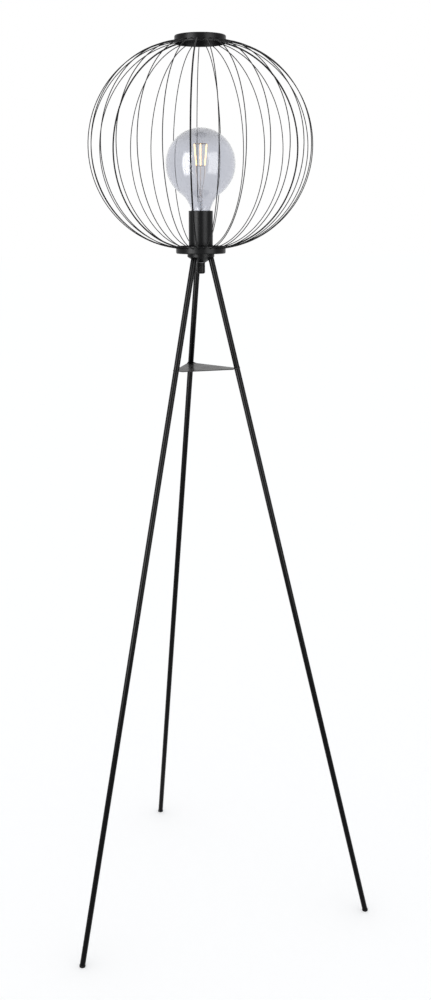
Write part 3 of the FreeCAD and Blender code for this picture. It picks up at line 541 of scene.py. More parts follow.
# %% [markdown]
# ## Turned shapes
#
# Much of the lamp is round: tubes, pressed rings, the cup, the bulb. A lathe helper spins an outline of
# (radius, height) corners about an axis. Real corners are never sharp, so each corner may carry a
# rounding, which becomes a short arc before the outline is spun.

# %% Helpers: round an outline and spin it
def ring_point(radius, angle, height):
    """A place given by its distance from the axis, its direction and its height."""
    return Vector((radius * math.cos(angle), radius * math.sin(angle), height))


def arc(centre, radius, start, end, steps):
    """Points on an arc of an outline, angles in radians from the outward direction."""
    return [Vector(centre) + ring_point(radius, start + (end - start) * k / steps, 0).xy
            for k in range(steps + 1)]


def rounded(corners, steps=5):
    """Corners are (radius, height) or (radius, height, rounding); returns plain points."""
    points = []
    for i, corner in enumerate(corners):
        here = Vector(corner[:2])
        if len(corner) < 3:
            points.append(here)
            continue
        before = (Vector(corners[i - 1][:2]) - here).normalized()
        after = (Vector(corners[(i + 1) % len(corners)][:2]) - here).normalized()
        half = before.angle(after) / 2
        middle = here + (before + after).normalized() * (corner[2] / math.sin(half))
        start = here + before * (corner[2] / math.tan(half)) - middle
        sweep = math.pi - 2 * half
        turn = sweep if start.x * before.y - start.y * before.x < 0 else -sweep
        first = math.atan2(start.y, start.x)
        points.extend(arc(middle, corner[2], first, first + turn, steps))
    return points


def spin(points, around=96):
    """Spins a closed outline of points about Z, in metres."""
    shape = bmesh.new()
    loops = []
    for radius, height in points:
        count = around if radius * MM > 1e-7 else 1
        loops.append([shape.verts.new(ring_point(radius * MM, FULL_TURN * k / around, height * MM))
                      for k in range(count)])
    for lower, upper in zip(loops, loops[1:] + loops[:1]):
        if len(lower) == 1 and len(upper) == 1:
            continue
        for k in range(around):
            j = (k + 1) % around
            ring = (lower[k % len(lower)], lower[j % len(lower)],
                    upper[j % len(upper)], upper[k % len(upper)])
            shape.faces.new(tuple(dict.fromkeys(ring)))
    return shape


def finish_mesh(name, shape, material, smooth_to=35.0):
    """Turns a bmesh into an object at the origin, with its place in its mesh."""
    bmesh.ops.recalc_face_normals(shape, faces=shape.faces)
    mesh = bpy.data.meshes.new(name)
    shape.to_mesh(mesh)
    shape.free()
    mesh.polygons.foreach_set("use_smooth", [True] * len(mesh.polygons))
    mesh.set_sharp_from_angle(angle=math.radians(smooth_to))
    mesh.materials.append(material)
    return in_scene(name, mesh)


def turned(name, corners, material, around, steps=5):
    """A round piece from the corners of its outline."""
    return finish_mesh(name, spin(rounded(corners, steps), around), material)


def span(node):
    """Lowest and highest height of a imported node, in millimetres."""
    low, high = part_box(node)
    return low.z / MM, high.z / MM


def stand_in(piece, body, slot, *nodes):
    """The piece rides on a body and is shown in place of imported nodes."""
    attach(piece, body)
    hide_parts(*nodes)


print("pan stands from %.1f to %.1f mm" % span("cage_base"))

# %% [markdown]
# ## Cage base and top cap
#
# Both are the same pressed steel dish, 90 mm across. One opens upwards and carries the lampholder, the
# other is turned over to close the cage. Pressing leaves a rounded bend between floor and wall, with a
# smaller radius inside, and the cut edge of the wall is lightly rounded by the coat.

# %% Spin the two dishes
RING_RADIUS = 45.0
SHEET = 1.2
STEM_HOLE = 5.1
OUTER_BEND = 1.9
INNER_BEND = OUTER_BEND - SHEET
CUT_EDGE = 0.35


def dish(floor_height, rim_height, hole):
    """Outline of a pressed dish; the rim may lie above or below the floor."""
    inner_floor = floor_height + math.copysign(SHEET, rim_height - floor_height)
    return [(hole, floor_height), (RING_RADIUS, floor_height, OUTER_BEND),
            (RING_RADIUS, rim_height, CUT_EDGE), (RING_RADIUS - SHEET, rim_height, CUT_EDGE),
            (RING_RADIUS - SHEET, inner_floor, INNER_BEND), (hole, inner_floor)]


pan_low, pan_high = span("cage_base")
cap_low, cap_high = span("top_cap")
pan = turned("pressed_pan", dish(pan_low, pan_high, STEM_HOLE), powder_black, 144)
cap = turned("pressed_cap", dish(cap_high, cap_low, 0.0), powder_black, 144)
stand_in(pan, "lamp", "powder_black", "cage_base")
stand_in(cap, "lamp", "powder_black", "top_cap")
print("dishes:", len(pan.data.polygons), "and", len(cap.data.polygons), "faces")

# %% [markdown]
# ## The wire cage
#
# Twenty-seven wires stand round the cage at equal angles. Every ninth is a thicker rod that gives the
# cage its stiffness. Each is bent to one arc and ends on the walls of both dishes. Something that
# repeats by a rule is work for Geometry Nodes: one arc is made, given a round section, and placed at
# every angle. Taking the number of wires, the arc and the thickness as inputs lets one tree make both
# the thin wires and the rods. Welds, fins and filaments will repeat round the axis as well, so the last
# steps of all these trees are two helpers: the angle of each place, and a copy at every place.

# %% Helpers for Geometry Nodes
def new_tree(name, inputs):
    """A geometry tree that repeats something round the axis, and its inputs."""
    return new_group("GeometryNodeTree", name, dict(inputs, Material=None), {"Geometry": GEOMETRY})


def own_angle(tree, given):
    """The index of a place, and its angle round the axis."""
    index = add_node(tree, "GeometryNodeInputIndex").outputs[0]
    step = calc(tree, "DIVIDE", FULL_TURN, given["Places"])
    return index, calc(tree, "ADD", calc(tree, "MULTIPLY", index, step), given["First Angle"])


def is_rod(tree, given, index):
    """1 where a rod stands, 0 where a thin wire stands."""
    return calc(tree, "LESS_THAN", calc(tree, "MODULO", index, given["Every"]), 0.5)


def on_axis(tree, given):
    """One point for each place, all at the origin."""
    return add_node(tree, "GeometryNodePoints", values={"Count": given["Places"]}).outputs[0]


def smoothed(tree, mesh):
    """The mesh with smooth shading."""
    return add_node(tree, "GeometryNodeSetShadeSmooth", values={0: mesh}).outputs[0]


def circle(tree, count, radius):
    """A round curve."""
    return add_node(tree, "GeometryNodeCurvePrimitiveCircle", {"mode": "RADIUS"},
                    {"Resolution": count, "Radius": radius}).outputs["Curve"]


def copy_round(tree, given, points, shape, angle, **options):
    """Copies a shape to the points, turned by the angle, as real geometry with the tree's material."""
    placed = add_node(tree, "GeometryNodeInstanceOnPoints",
                      values=dict(options, Points=points, Instance=shape,
                                  Rotation=combine(tree, Z=angle)))
    real = add_node(tree, "GeometryNodeRealizeInstances", values={0: placed.outputs[0]})
    coat = add_node(tree, "GeometryNodeSetMaterial",
                    values={"Geometry": real.outputs[0], "Material": given["Material"]})
    hand_out(tree, Geometry=coat.outputs[0])


def evaluated_mesh(thing):
    """The mesh of an object with its modifiers and its bevel worked in."""
    bpy.context.view_layer.update()
    return bpy.data.meshes.new_from_object(
        thing.evaluated_get(bpy.context.evaluated_depsgraph_get()))


def grow(name, tree, values):
    """Runs a tree once and keeps the result as a plain mesh object."""
    maker = in_scene(name + "_maker", bpy.data.meshes.new(name + "_seed"))
    modifier = maker.modifiers.new("grow", "NODES")
    modifier.node_group = tree
    for item in tree.interface.items_tree:
        if item.in_out == "INPUT" and item.name in values:
            modifier[item.identifier] = values[item.name]
    mesh = evaluated_mesh(maker)
    bpy.data.objects.remove(maker)
    mesh.name = name
    return in_scene(name, mesh)


print("geometry helpers ready")

# %% [markdown]
# The tree works in four steps. Curve Arc draws the bow in the flat XY plane and Transform stands it up.
# Curve to Mesh sweeps a small circle along it. Points makes one point for each wire, all on the axis.
# Instance on Points copies the wire to every point, turned by the point's index. A rod's place is left
# out of the thin wires with the Selection input.

# %% Build the bowed wire tree
bowed, given = new_tree("bowed_wires", {
    "Places": 27, "Every": 9, "Rods": 0, "First Angle": 0.0, "Arc Radius": 0.177, "Arc Offset": 0.022,
    "Half Angle": 1.44, "Height": 1.49, "Wire Radius": 0.0007, "Steps": 97, "Sides": 12})
bow = add_node(bowed, "GeometryNodeCurveArc", {"mode": "RADIUS"},
               {"Resolution": given["Steps"], "Radius": given["Arc Radius"],
                "Start Angle": calc(bowed, "MULTIPLY", given["Half Angle"], -1.0),
                "Sweep Angle": calc(bowed, "MULTIPLY", given["Half Angle"], 2.0)})
upright = add_node(bowed, "GeometryNodeTransform",
                   values={"Geometry": bow.outputs["Curve"],
                           "Translation": combine(bowed, X=given["Arc Offset"], Z=given["Height"]),
                           "Rotation": (math.pi / 2, 0.0, 0.0)})
swept = add_node(bowed, "GeometryNodeCurveToMesh",
                 values={"Curve": upright.outputs[0], "Fill Caps": True,
                         "Profile Curve": circle(bowed, given["Sides"], given["Wire Radius"])})
index, angle = own_angle(bowed, given)
wanted = calc(bowed, "COMPARE", is_rod(bowed, given, index), given["Rods"])
copy_round(bowed, given, on_axis(bowed, given), smoothed(bowed, swept.outputs[0]), angle,
           Selection=wanted)
print("tree:", bowed.name, "with", len(bowed.nodes), "nodes")

# %% [markdown]
# The wires run a little way into the wall of each dish, as a resistance weld sinks them in. The angle at
# which an arc meets the wall follows from the arc's radius and its offset from the axis. The powder coat
# makes each wire thicker by a tenth of a millimetre all round. The arc is drawn a little smaller for that,
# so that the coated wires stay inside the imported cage.

# %% Grow wires and rods
ARC_RADIUS = 177.0
ARC_OFFSET = 22.0
CAGE_TURN = math.radians(128.0)
WIRE = 1.4
ROD = 2.6
COAT = 0.1
WELD_SINK = 0.5
weld_angle = math.acos((RING_RADIUS - WELD_SINK - ARC_OFFSET) / ARC_RADIUS)
bow_sizes = {"First Angle": CAGE_TURN, "Arc Radius": (ARC_RADIUS - 2 * COAT) * MM,
             "Arc Offset": ARC_OFFSET * MM, "Half Angle": weld_angle,
             "Height": (pan_high + cap_low) / 2 * MM, "Material": wire_black}
wires = grow("bowed_cage_wires", bowed,
             {**bow_sizes, "Rods": 0, "Wire Radius": (WIRE / 2 + COAT) * MM})
rods = grow("bowed_cage_rods", bowed,
            {**bow_sizes, "Rods": 1, "Wire Radius": (ROD / 2 + COAT) * MM, "Sides": 16})
stand_in(wires, "lamp", "powder_black", "cage_wires")
stand_in(rods, "lamp", "powder_black", "cage_rods")
print("wire faces:", len(wires.data.polygons), "rod faces:", len(rods.data.polygons))

# %% [markdown]
# ## Weld nuggets
#
# Where a wire meets a dish, the weld leaves a small flattened bead, and the coat rounds it off. The tree
# places one bead for each wire at one height, and runs once for each dish. A fixed seed varies their
# size a little, because no two welds are alike.

# %% Grow the weld nuggets
WELD_INSET = 3.6

welds, given = new_tree("weld_nuggets", {
    "Places": 27, "Every": 9, "First Angle": 0.0, "Radius": 0.045, "Height": 1.3,
    "Thin": 0.0011, "Thick": 0.0018, "Seed": 4})
index, angle = own_angle(welds, given)
spot = combine(welds, X=calc(welds, "MULTIPLY", calc(welds, "COSINE", angle), given["Radius"]),
               Y=calc(welds, "MULTIPLY", calc(welds, "SINE", angle), given["Radius"]),
               Z=given["Height"])
spread_out = add_node(welds, "GeometryNodeSetPosition",
                      values={"Geometry": on_axis(welds, given), "Position": spot})
growth = calc(welds, "MULTIPLY", is_rod(welds, given, index),
              calc(welds, "SUBTRACT", given["Thick"], given["Thin"]))
chance = add_node(welds, "FunctionNodeRandomValue", {"data_type": "FLOAT"},
                  {2: 0.85, 3: 1.15, "Seed": given["Seed"]}).outputs[1]
bead_size = calc(welds, "MULTIPLY", calc(welds, "ADD", given["Thin"], growth), chance)
flat = combine(welds, X=calc(welds, "MULTIPLY", bead_size, 0.55), Y=bead_size,
               Z=calc(welds, "MULTIPLY", bead_size, 1.15))
bead = add_node(welds, "GeometryNodeMeshUVSphere", values={"Segments": 14, "Rings": 9, "Radius": 1.0})
copy_round(welds, given, spread_out.outputs[0], smoothed(welds, bead.outputs["Mesh"]), angle,
           Scale=flat)

for name, level, seed in (("lower_welds", pan_high - WELD_INSET, 4),
                          ("upper_welds", cap_low + WELD_INSET, 9)):
    nuggets = grow(name, welds, {"First Angle": CAGE_TURN, "Radius": RING_RADIUS * MM,
                                 "Height": level * MM, "Seed": seed, "Material": powder_black})
    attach(nuggets, "lamp")
    print(name, len(nuggets.data.polygons), "faces")

# %% [markdown]
# ## Legs
#
# Each leg is two straight tubes with the spacer plate clamped between them. The legs lean out by 13.8
# degrees. It is easiest to spin a piece upright and then move it into the leg's own frame: a matrix whose
# Z axis runs down the leg. The same frame serves the tubes and the foot caps.

# %% The frame of a leg
SPLAY = math.radians(13.8)
SEAT_RADIUS = 18.4
UPPER_LENGTH = 205.0
LOWER_LENGTH = 1128.0
PLATE_SHEET = 1.5
FOOT_STAND = 3.6
LEG_REACH = UPPER_LENGTH + PLATE_SHEET + LOWER_LENGTH + FOOT_STAND
LEG_ANGLES = {"front_left": 210.0, "front_right": 330.0, "back": 90.0}


def move_to_leg(shape, side, along):
    """Moves an upright shape a distance down a leg, with its Z axis along the leg."""
    turn = Matrix.Rotation(math.radians(LEG_ANGLES[side]), 4, "Z")
    seat = Matrix.Translation(((SEAT_RADIUS + along * math.sin(SPLAY)) * MM, 0,
                               (LEG_REACH - along) * math.cos(SPLAY) * MM))
    lean = Matrix.Rotation(math.pi - SPLAY, 4, "Y") @ Matrix.Rotation(math.pi, 4, "Z")
    bmesh.ops.transform(shape, matrix=turn @ seat @ lean, verts=shape.verts)
    return shape


print("leg seat at height %.1f mm" % (LEG_REACH * math.cos(SPLAY)))

# %% [markdown]
# The tubes are cut from steel tube with a wall of one millimetre. A cut end is never sharp: it is rounded
# a little, inside and outside, and that catches the light at the plate. One loop spins all six.

# %% Spin the leg tubes
TUBE_RADIUS = 5.25
TUBE_BORE = 4.25
TUBE_PARTS = (("upper", 0.0, UPPER_LENGTH), ("lower", UPPER_LENGTH + PLATE_SHEET, LOWER_LENGTH))

for side in LEG_ANGLES:
    for part, start, length in TUBE_PARTS:
        tube = spin(rounded([(TUBE_BORE, 0.0, 0.15), (TUBE_RADIUS, 0.0, 0.3),
                             (TUBE_RADIUS, length, 0.3), (TUBE_BORE, length, 0.15)], 3), 48)
        # The tubes wear the darker copy of the coat, which is painted shade.
        leg = finish_mesh("%s_tube_%s" % (part, side), move_to_leg(tube, side, start), tube_black_painted_shade)
        stand_in(leg, "lamp", "powder_black", "%s_leg_%s" % (part, side))
print("leg tubes:", len(TUBE_PARTS) * len(LEG_ANGLES))

# %% [markdown]
# ## Foot caps
#
# A moulded plug closes each leg. Its head is a touch wider than the tube and rounded, and a flat stands
# level on the floor. Moulding leaves a fine groove under the head. The cap is spun in the leg's frame,
# then cut by the floor plane, and the cut is filled.

# %% Spin and cut the foot caps
FOOT_RADIUS = 5.8
SPIGOT_RADIUS = 4.2
SPIGOT_LENGTH = 12.0
GROOVE_RADIUS = 5.45
FOOT_HEAD = 5.6

for side in LEG_ANGLES:
    foot = spin(rounded([
        (0.0, -SPIGOT_LENGTH), (SPIGOT_RADIUS, -SPIGOT_LENGTH, 0.8), (SPIGOT_RADIUS, 0.0),
        (GROOVE_RADIUS, 0.0), (GROOVE_RADIUS, 0.35), (FOOT_RADIUS, 0.5, 0.1),
        (FOOT_RADIUS, FOOT_HEAD, 3.1), (0.0, FOOT_HEAD)], 8), 64)
    move_to_leg(foot, side, LEG_REACH - FOOT_STAND)
    bmesh.ops.bisect_plane(foot, geom=foot.verts[:] + foot.edges[:] + foot.faces[:],
                           plane_co=(0, 0, 0), plane_no=(0, 0, -1), clear_outer=True)
    bmesh.ops.holes_fill(foot, edges=[edge for edge in foot.edges if edge.is_boundary], sides=0)
    foot_cap = finish_mesh("moulded_foot_%s" % side, foot, foot_plastic, 32.0)
    stand_in(foot_cap, "lamp", "foot_plastic", "foot_cap_" + side)
print("foot cap lowest point: %.4f m" % min(v.co.z for v in foot_cap.data.vertices))

# %% [markdown]
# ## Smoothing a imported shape
#
# The spacer plate, the hub and the bracket come from sawn, bent and drilled metal, with holes at odd
# angles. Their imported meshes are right, but made of loose triangles with sharp edges. A copy is merged,
# its flat areas are joined into single faces, and a Bevel modifier rounds the edges.

# %% Helper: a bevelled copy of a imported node
def softened(name, node_name, material, width, smooth_to=30.0):
    """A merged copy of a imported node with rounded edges; width is in millimetres."""
    shape = bmesh.new()
    shape.from_mesh(frame["nodes"][node_name].data)
    bmesh.ops.remove_doubles(shape, verts=shape.verts, dist=2e-6)
    bmesh.ops.dissolve_limit(shape, angle_limit=math.radians(0.6), verts=shape.verts,
                             edges=shape.edges)
    piece = finish_mesh(name, shape, material, smooth_to)
    modifier = piece.modifiers.new("edge", "BEVEL")
    modifier.width = width * MM
    modifier.segments = 2
    modifier.limit_method = "ANGLE"
    modifier.angle_limit = math.radians(smooth_to)
    modifier.use_clamp_overlap = True
    modifier.harden_normals = True
    mesh = evaluated_mesh(piece)
    piece.modifiers.clear()
    piece.data = mesh
    print(name, len(mesh.polygons), "faces")
    return piece


print("bevel helper ready")

# %% [markdown]
# ## Hub and spacer plate
#
# The hub is turned from bar, with three angled sockets drilled into its cone. The spacer plate is cut
# from sheet, and its corners are folded to meet the legs squarely. They are folded by 13.8 degrees only,
# so on the plate an edge counts as sharp from eight degrees on.

# %% Soften the hub and the plate
hub = softened("turned_hub", "hub", powder_black, 0.35)
stand_in(hub, "lamp", "powder_black", "hub")
plate = softened("folded_spacer", "spacer_plate", powder_black, 0.25, 8.0)
stand_in(plate, "lamp", "powder_black", "spacer_plate")

# %% [markdown]
# ## Lampholder cup
#
# A plain deep-drawn cup hides the lampholder. Its lower edge has the punch radius, and its upper edge is
# trimmed and slightly rolled. The wall is one millimetre thick, so the inside is modelled as well.

# %% Spin the cup
CUP_RADIUS = 21.8
CUP_WALL = 1.0
CUP_INSIDE = CUP_RADIUS - CUP_WALL
cup_low, cup_high = span("socket_cup")
cup_floor = cup_low + CUP_WALL
cup = turned("drawn_cup", [
    (STEM_HOLE, cup_low), (CUP_RADIUS, cup_low, 0.9), (CUP_RADIUS, cup_high, 0.45),
    (CUP_INSIDE, cup_high, 0.45), (CUP_INSIDE, cup_floor, 0.5), (STEM_HOLE, cup_floor)],
    powder_black, 128)
stand_in(cup, "lamp", "powder_black", "socket_cup")
print("cup from %.1f to %.1f mm" % (cup_low, cup_high))

# %% [markdown]
# ## Inside the lampholder
#
# A moulded insulator holds the threaded sleeve. Fins on its outside centre it in the cup, and its top
# face carries a raised collar. The fins repeat round the axis, so a small tree makes them.

# %% Mould the insulator
BODY_RADIUS = 18.6
COLLAR_RADIUS = 20.0
BORE = 13.85
body_low, body_high = span("socket_body")
body_floor = body_low + 5.0
core = turned("moulded_insulator", [
    (0.0, body_low), (BODY_RADIUS, body_low, 0.8), (BODY_RADIUS, body_high - 6.0, 0.5),
    (COLLAR_RADIUS, body_high - 5.2, 0.4), (COLLAR_RADIUS, body_high - 1.6, 0.6),
    (18.4, body_high, 0.5), (BORE, body_high, 0.4), (BORE, body_floor, 0.3), (0.0, body_floor)],
    holder_plastic, 96)
stand_in(core, "lamp", "holder_plastic", "socket_body")

fins, given = new_tree("holder_fins", {
    "Places": 12, "First Angle": 0.0, "Radius": 0.0191, "Height": 1.35, "Depth": 0.0016,
    "Width": 0.0018, "Length": 0.02})
raised = add_node(fins, "GeometryNodeTransform",
                  values={"Geometry": circle(fins, given["Places"], given["Radius"]),
                          "Translation": combine(fins, Z=given["Height"])})
spots = add_node(fins, "GeometryNodeCurveToPoints", {"mode": "EVALUATED"}, {0: raised.outputs[0]})
fin_size = combine(fins, X=given["Depth"], Y=given["Width"], Z=given["Length"])
fin = add_node(fins, "GeometryNodeMeshCube", values={"Size": fin_size})
copy_round(fins, given, spots.outputs[0], fin.outputs["Mesh"], own_angle(fins, given)[1])
fin_length = body_high - 6.5 - body_low
fin_ring = grow("insulator_fins", fins, {"Height": (body_low + fin_length / 2) * MM,
                                         "Length": fin_length * MM, "Material": holder_plastic})
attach(fin_ring, "lamp")
print("fins:", len(fin_ring.data.polygons) // 6)

# %% [markdown]
# ## Threads
#
# The bulb's cap and the sleeve that takes it are thin shells, each rolled into a screw. Their walls follow
# a wave that climbs by one pitch per turn. This is one line of trigonometry: the radius depends on the
# height minus the angle's share of the pitch. Both walls count the height from the same level, so the
# sleeve's ridge runs in the cap's groove and stays in it however far the bulb is screwed out. The cap's
# ridge rises out of its root at the lower end, where the bulb is started in the sleeve.

# %% Roll the two threads
THREAD_PITCH = 3.63
ROWS_PER_PITCH = 10
shell_low, shell_high = span("bulb_cap")
sleeve_low, sleeve_high = span("socket_sleeve")


def threaded(name, outer, bore, depth, low, high, material, rolled_through):
    """A threaded shell. Rolled through, its bore has the thread too; otherwise the bore is plain."""
    rows = int((high - low) / THREAD_PITCH * ROWS_PER_PITCH)
    levels = [low + (high - low) * row / rows for row in range(rows + 1)]
    bore_levels = levels[::-1] if rolled_through else (high, low)
    shape = spin([(outer, level) for level in levels] + [(bore, level) for level in bore_levels], 72)
    for vertex in shape.verts:
        across, forth, height = vertex.co / MM
        radius = math.hypot(across, forth)
        if not rolled_through and radius < (outer + bore) / 2:
            continue
        turns = (height - shell_low) / THREAD_PITCH
        groove = 0.5 - 0.5 * math.cos(FULL_TURN * turns - math.atan2(forth, across))
        start = min(1.0, (height - low) / THREAD_PITCH)
        end = min(1.0, (high - height) / THREAD_PITCH)
        groove = groove * start if rolled_through else 1.0 - (1.0 - groove) * start
        vertex.co.x *= 1.0 - depth * groove * end / radius
        vertex.co.y *= 1.0 - depth * groove * end / radius
    return finish_mesh(name, shape, material, 50.0)


screw_cap = threaded("rolled_screw_cap", 13.1, 12.0, 0.75, shell_low, shell_high, cap_nickel, False)
stand_in(screw_cap, "bulb", "cap_metal", "bulb_cap")
screw_sleeve = threaded("rolled_sleeve", 13.8, 13.4, 0.7, sleeve_low, sleeve_high, brass, True)
stand_in(screw_sleeve, "lamp", "brass", "socket_sleeve")
print("screw cap faces:", len(screw_cap.data.polygons), "sleeve faces:", len(screw_sleeve.data.polygons))

# %% [markdown]
# ## The glass globe
#
# The bulb's outline is a sphere that turns through a hollow curve into the neck. Both arcs meet without
# a kink, because their centres and the meeting point lie on one line. The wall is 0.8 mm thick, so the
# same arcs are drawn again inside with their radii changed by the wall.

# %% Spin the globe
GLOBE = 62.3
WALL = 0.8
NECK = 16.5
NECK_CURVE = 47.0
NECK_ROUNDING = 3.9
SEAL_RADIUS = NECK - NECK_ROUNDING
QUARTER_TURN = math.pi / 2
glass_low, glass_high = span("bulb_glass")
globe_middle = glass_high - GLOBE
curve_centre = NECK + NECK_CURVE
neck_level = globe_middle - math.sqrt((GLOBE + NECK_CURVE) ** 2 - curve_centre ** 2)
lean = math.atan2(globe_middle - neck_level, curve_centre)


def globe_outline(wall):
    """Half of the globe's outline from its top down to the neck, moved in by the wall."""
    top = arc((0.0, globe_middle), GLOBE - wall, QUARTER_TURN, -lean, 56)
    shoulder = arc((curve_centre, neck_level), NECK_CURVE + wall, math.pi - lean, math.pi, 20)
    tuck = arc((SEAL_RADIUS, neck_level), NECK_ROUNDING - wall, 0.0, -QUARTER_TURN, 8)
    return [Vector((0.0, globe_middle + GLOBE - wall))] + top[1:] + shoulder[1:] + tuck[1:]


inside = globe_outline(WALL)
seal_ring = [Vector((SEAL_RADIUS, glass_low)), Vector((SEAL_RADIUS - WALL, glass_low)),
             Vector((SEAL_RADIUS - WALL, inside[-1].y))]
globe = finish_mesh("blown_globe", spin(globe_outline(0.0) + seal_ring + inside[::-1], 160),
                    bulb_clear, 60.0)
stand_in(globe, "bulb", "clear_glass", "bulb_glass")
print("globe faces:", len(globe.data.polygons), "neck level %.1f mm" % neck_level)

# %% [markdown]
# ## Inside the bulb
#
# A flared glass tube is sealed to the neck. Its upper end is pinched flat round the wires, and a finer
# tube inside it was used to pump the bulb. The flare is spun round first, and then its upper end is
# squashed: narrower one way and wider the other, more so towards the top.

# %% The flare and its pinch
stem_low, stem_high = span("glass_stem")
pinch_start = stem_high - 9.0
flare_top = stem_low + 11.5
flare = spin(rounded([
    (11.5, stem_low), (11.6, stem_low + 0.9, 0.4), (5.2, flare_top, 6.0), (3.9, pinch_start, 3.0),
    (2.6, stem_high - 0.8, 0.8), (0.0, stem_high), (0.0, pinch_start - 1.0),
    (3.1, pinch_start - 2.5, 1.0), (4.4, flare_top, 6.0), (10.6, stem_low)], 6), 72)
for vertex in flare.verts:
    squash = min(1.0, max(0.0, (vertex.co.z / MM - pinch_start + 4.0) / 7.0))
    vertex.co.x *= 1.0 + 0.35 * squash
    vertex.co.y *= 1.0 - 0.48 * squash
stem_piece = finish_mesh("pinched_flare", flare, stem_clear, 60.0)
stand_in(stem_piece, "bulb", "stem_glass", "glass_stem")
pump_tube = turned("pump_tube", [
    (1.0, stem_low + 1.0), (1.5, stem_low + 1.0), (1.5, pinch_start - 3.0, 0.4),
    (0.0, pinch_start - 2.4), (0.0, pinch_start - 3.6), (1.0, pinch_start - 4.2)], stem_clear, 32, 4)
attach(pump_tube, "bulb")
print("flare faces:", len(stem_piece.data.polygons))

# %% [markdown]
# ## Support wires
#
# Bent wires follow paths. A curve object with a bevel sweeps a circle along its points, and its mesh is
# kept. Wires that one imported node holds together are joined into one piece.

# %% Helpers: sweep wires along points and join them
def swept_wire(name, points, radius, cyclic=False, smooth_path=True):
    """A round support wire through points in millimetres, as a closed tube mesh."""
    curve = bpy.data.curves.new(name + "_path", "CURVE")
    curve.dimensions = "3D"
    curve.resolution_u = 10
    line = curve.splines.new("NURBS" if smooth_path else "POLY")
    line.points.add(len(points) - 1)
    for point, where in zip(line.points, points):
        point.co = (where[0] * MM, where[1] * MM, where[2] * MM, 1.0)
    line.use_cyclic_u = cyclic
    line.order_u = 3
    line.use_endpoint_u = not cyclic
    curve.bevel_depth = radius * MM
    curve.bevel_resolution = 3
    curve.use_fill_caps = not cyclic
    holder = in_scene(name + "_path", curve)
    shape = bmesh.new()
    shape.from_mesh(evaluated_mesh(holder))
    bpy.data.objects.remove(holder)
    bmesh.ops.remove_doubles(shape, verts=shape.verts, dist=1e-7)
    return finish_mesh(name, shape, support_wire, 60.0)


def join_wires(name, pieces, node_name):
    """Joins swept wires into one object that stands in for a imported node."""
    shape = bmesh.new()
    for piece in pieces:
        shape.from_mesh(piece.data)
        bpy.data.objects.remove(piece)
    stand_in(finish_mesh(name, shape, support_wire, 60.0), "bulb", "support_wire", node_name)


print("wire helpers ready")

# %% [markdown]
# Two lead wires rise through the pinch to the lower hoop. A mast stands on the pinch, and four spokes on it
# carry the upper hoop. The hoops, the spokes and the leads all take their places from two radii and two
# heights, so the filaments will fit between the hoops by the same values.

# %% Bend the hoops, the mast and the lead wires
FILAMENTS = 4
FILAMENT_TURN = math.radians(72.5)
LOWER_HOOP = 7.5
UPPER_HOOP = 11.0
SUPPORT_RADIUS = 0.45
LEAD_GAP = 1.3
hoops_low, hoops_high = span("filament_hoops")
lower_level, upper_level = hoops_low + SUPPORT_RADIUS, hoops_high - SUPPORT_RADIUS

hoops = []
for label, radius, level in (("lower", LOWER_HOOP, lower_level), ("upper", UPPER_HOOP, upper_level)):
    path = [ring_point(radius * 1.006, FULL_TURN * k / 24, level) for k in range(24)]
    hoops.append(swept_wire(label + "_hoop", path, 0.38, cyclic=True))
join_wires("round_hoops", hoops, "filament_hoops")

mast = [swept_wire("mast_post", [(0, 0, stem_high - 1.5), (0, 0, upper_level)], SUPPORT_RADIUS,
                   smooth_path=False)]
for k in range(FILAMENTS):
    angle = FILAMENT_TURN + FULL_TURN * k / FILAMENTS
    mast.append(swept_wire("spoke_%d" % k, [
        Vector((0, 0, upper_level)), ring_point(UPPER_HOOP * 0.5, angle, upper_level + 0.25),
        ring_point(UPPER_HOOP, angle, upper_level)], 0.3))
join_wires("mast_and_spokes", mast, "filament_mast")

leads = []
for k in range(2):
    side = FILAMENT_TURN + (k + 0.5) * math.pi
    bends = ((LEAD_GAP, stem_low + 2.0), (LEAD_GAP, stem_high - 6.0), (1.7, stem_high + 4.0),
             (5.8, (stem_high + lower_level) / 2), (LOWER_HOOP, lower_level - 6.0),
             (LOWER_HOOP, lower_level))
    leads.append(swept_wire("lead_%d" % k, [ring_point(radius, side, level) for radius, level in bends],
                            0.36))
join_wires("bent_leads", leads, "lead_wires")
print("hoops at %.1f and %.1f mm" % (lower_level, upper_level))

# %% [markdown]
# The filament strips repeat round the axis, so they come from a tree again. Each strip is a slim
# cylinder with rounded ends, leaning outwards from the lower hoop to the upper one. The lean and the
# length follow from the two hoops.

# %% Grow the filament strips
STRIP_RADIUS = 1.2
run_out = UPPER_HOOP - LOWER_HOOP
rise = upper_level - lower_level
strip_length = math.hypot(run_out, rise)

strips, given = new_tree("filament_strips", {
    "Places": 4, "First Angle": 0.0, "Lower Radius": 0.0075, "Height": 1.46, "Length": 0.038,
    "Lean": 0.09, "Strip Radius": 0.001})
line = add_node(strips, "GeometryNodeCurvePrimitiveLine", {"mode": "DIRECTION"},
                {"Direction": (0.0, 0.0, 1.0), "Length": given["Length"]})
fine = add_node(strips, "GeometryNodeResampleCurve", {"mode": "COUNT"},
                {"Curve": line.outputs[0], "Count": 40})
along = add_node(strips, "GeometryNodeSplineParameter").outputs["Factor"]
from_middle = calc(strips, "ABSOLUTE", calc(strips, "SUBTRACT", along, 0.5))
edge_room = calc(strips, "MULTIPLY", calc(strips, "SUBTRACT", 0.5, from_middle), 14.0)
taper = calc(strips, "POWER", calc(strips, "MINIMUM", edge_room, 1.0), 0.5)
slim = calc(strips, "MULTIPLY", calc(strips, "MAXIMUM", taper, 0.22), given["Strip Radius"])
thick = add_node(strips, "GeometryNodeSetCurveRadius", values={"Curve": fine.outputs[0], "Radius": slim})
swept = add_node(strips, "GeometryNodeCurveToMesh",
                 values={"Curve": thick.outputs[0], "Profile Curve": circle(strips, 16, 1.0),
                         "Fill Caps": True})
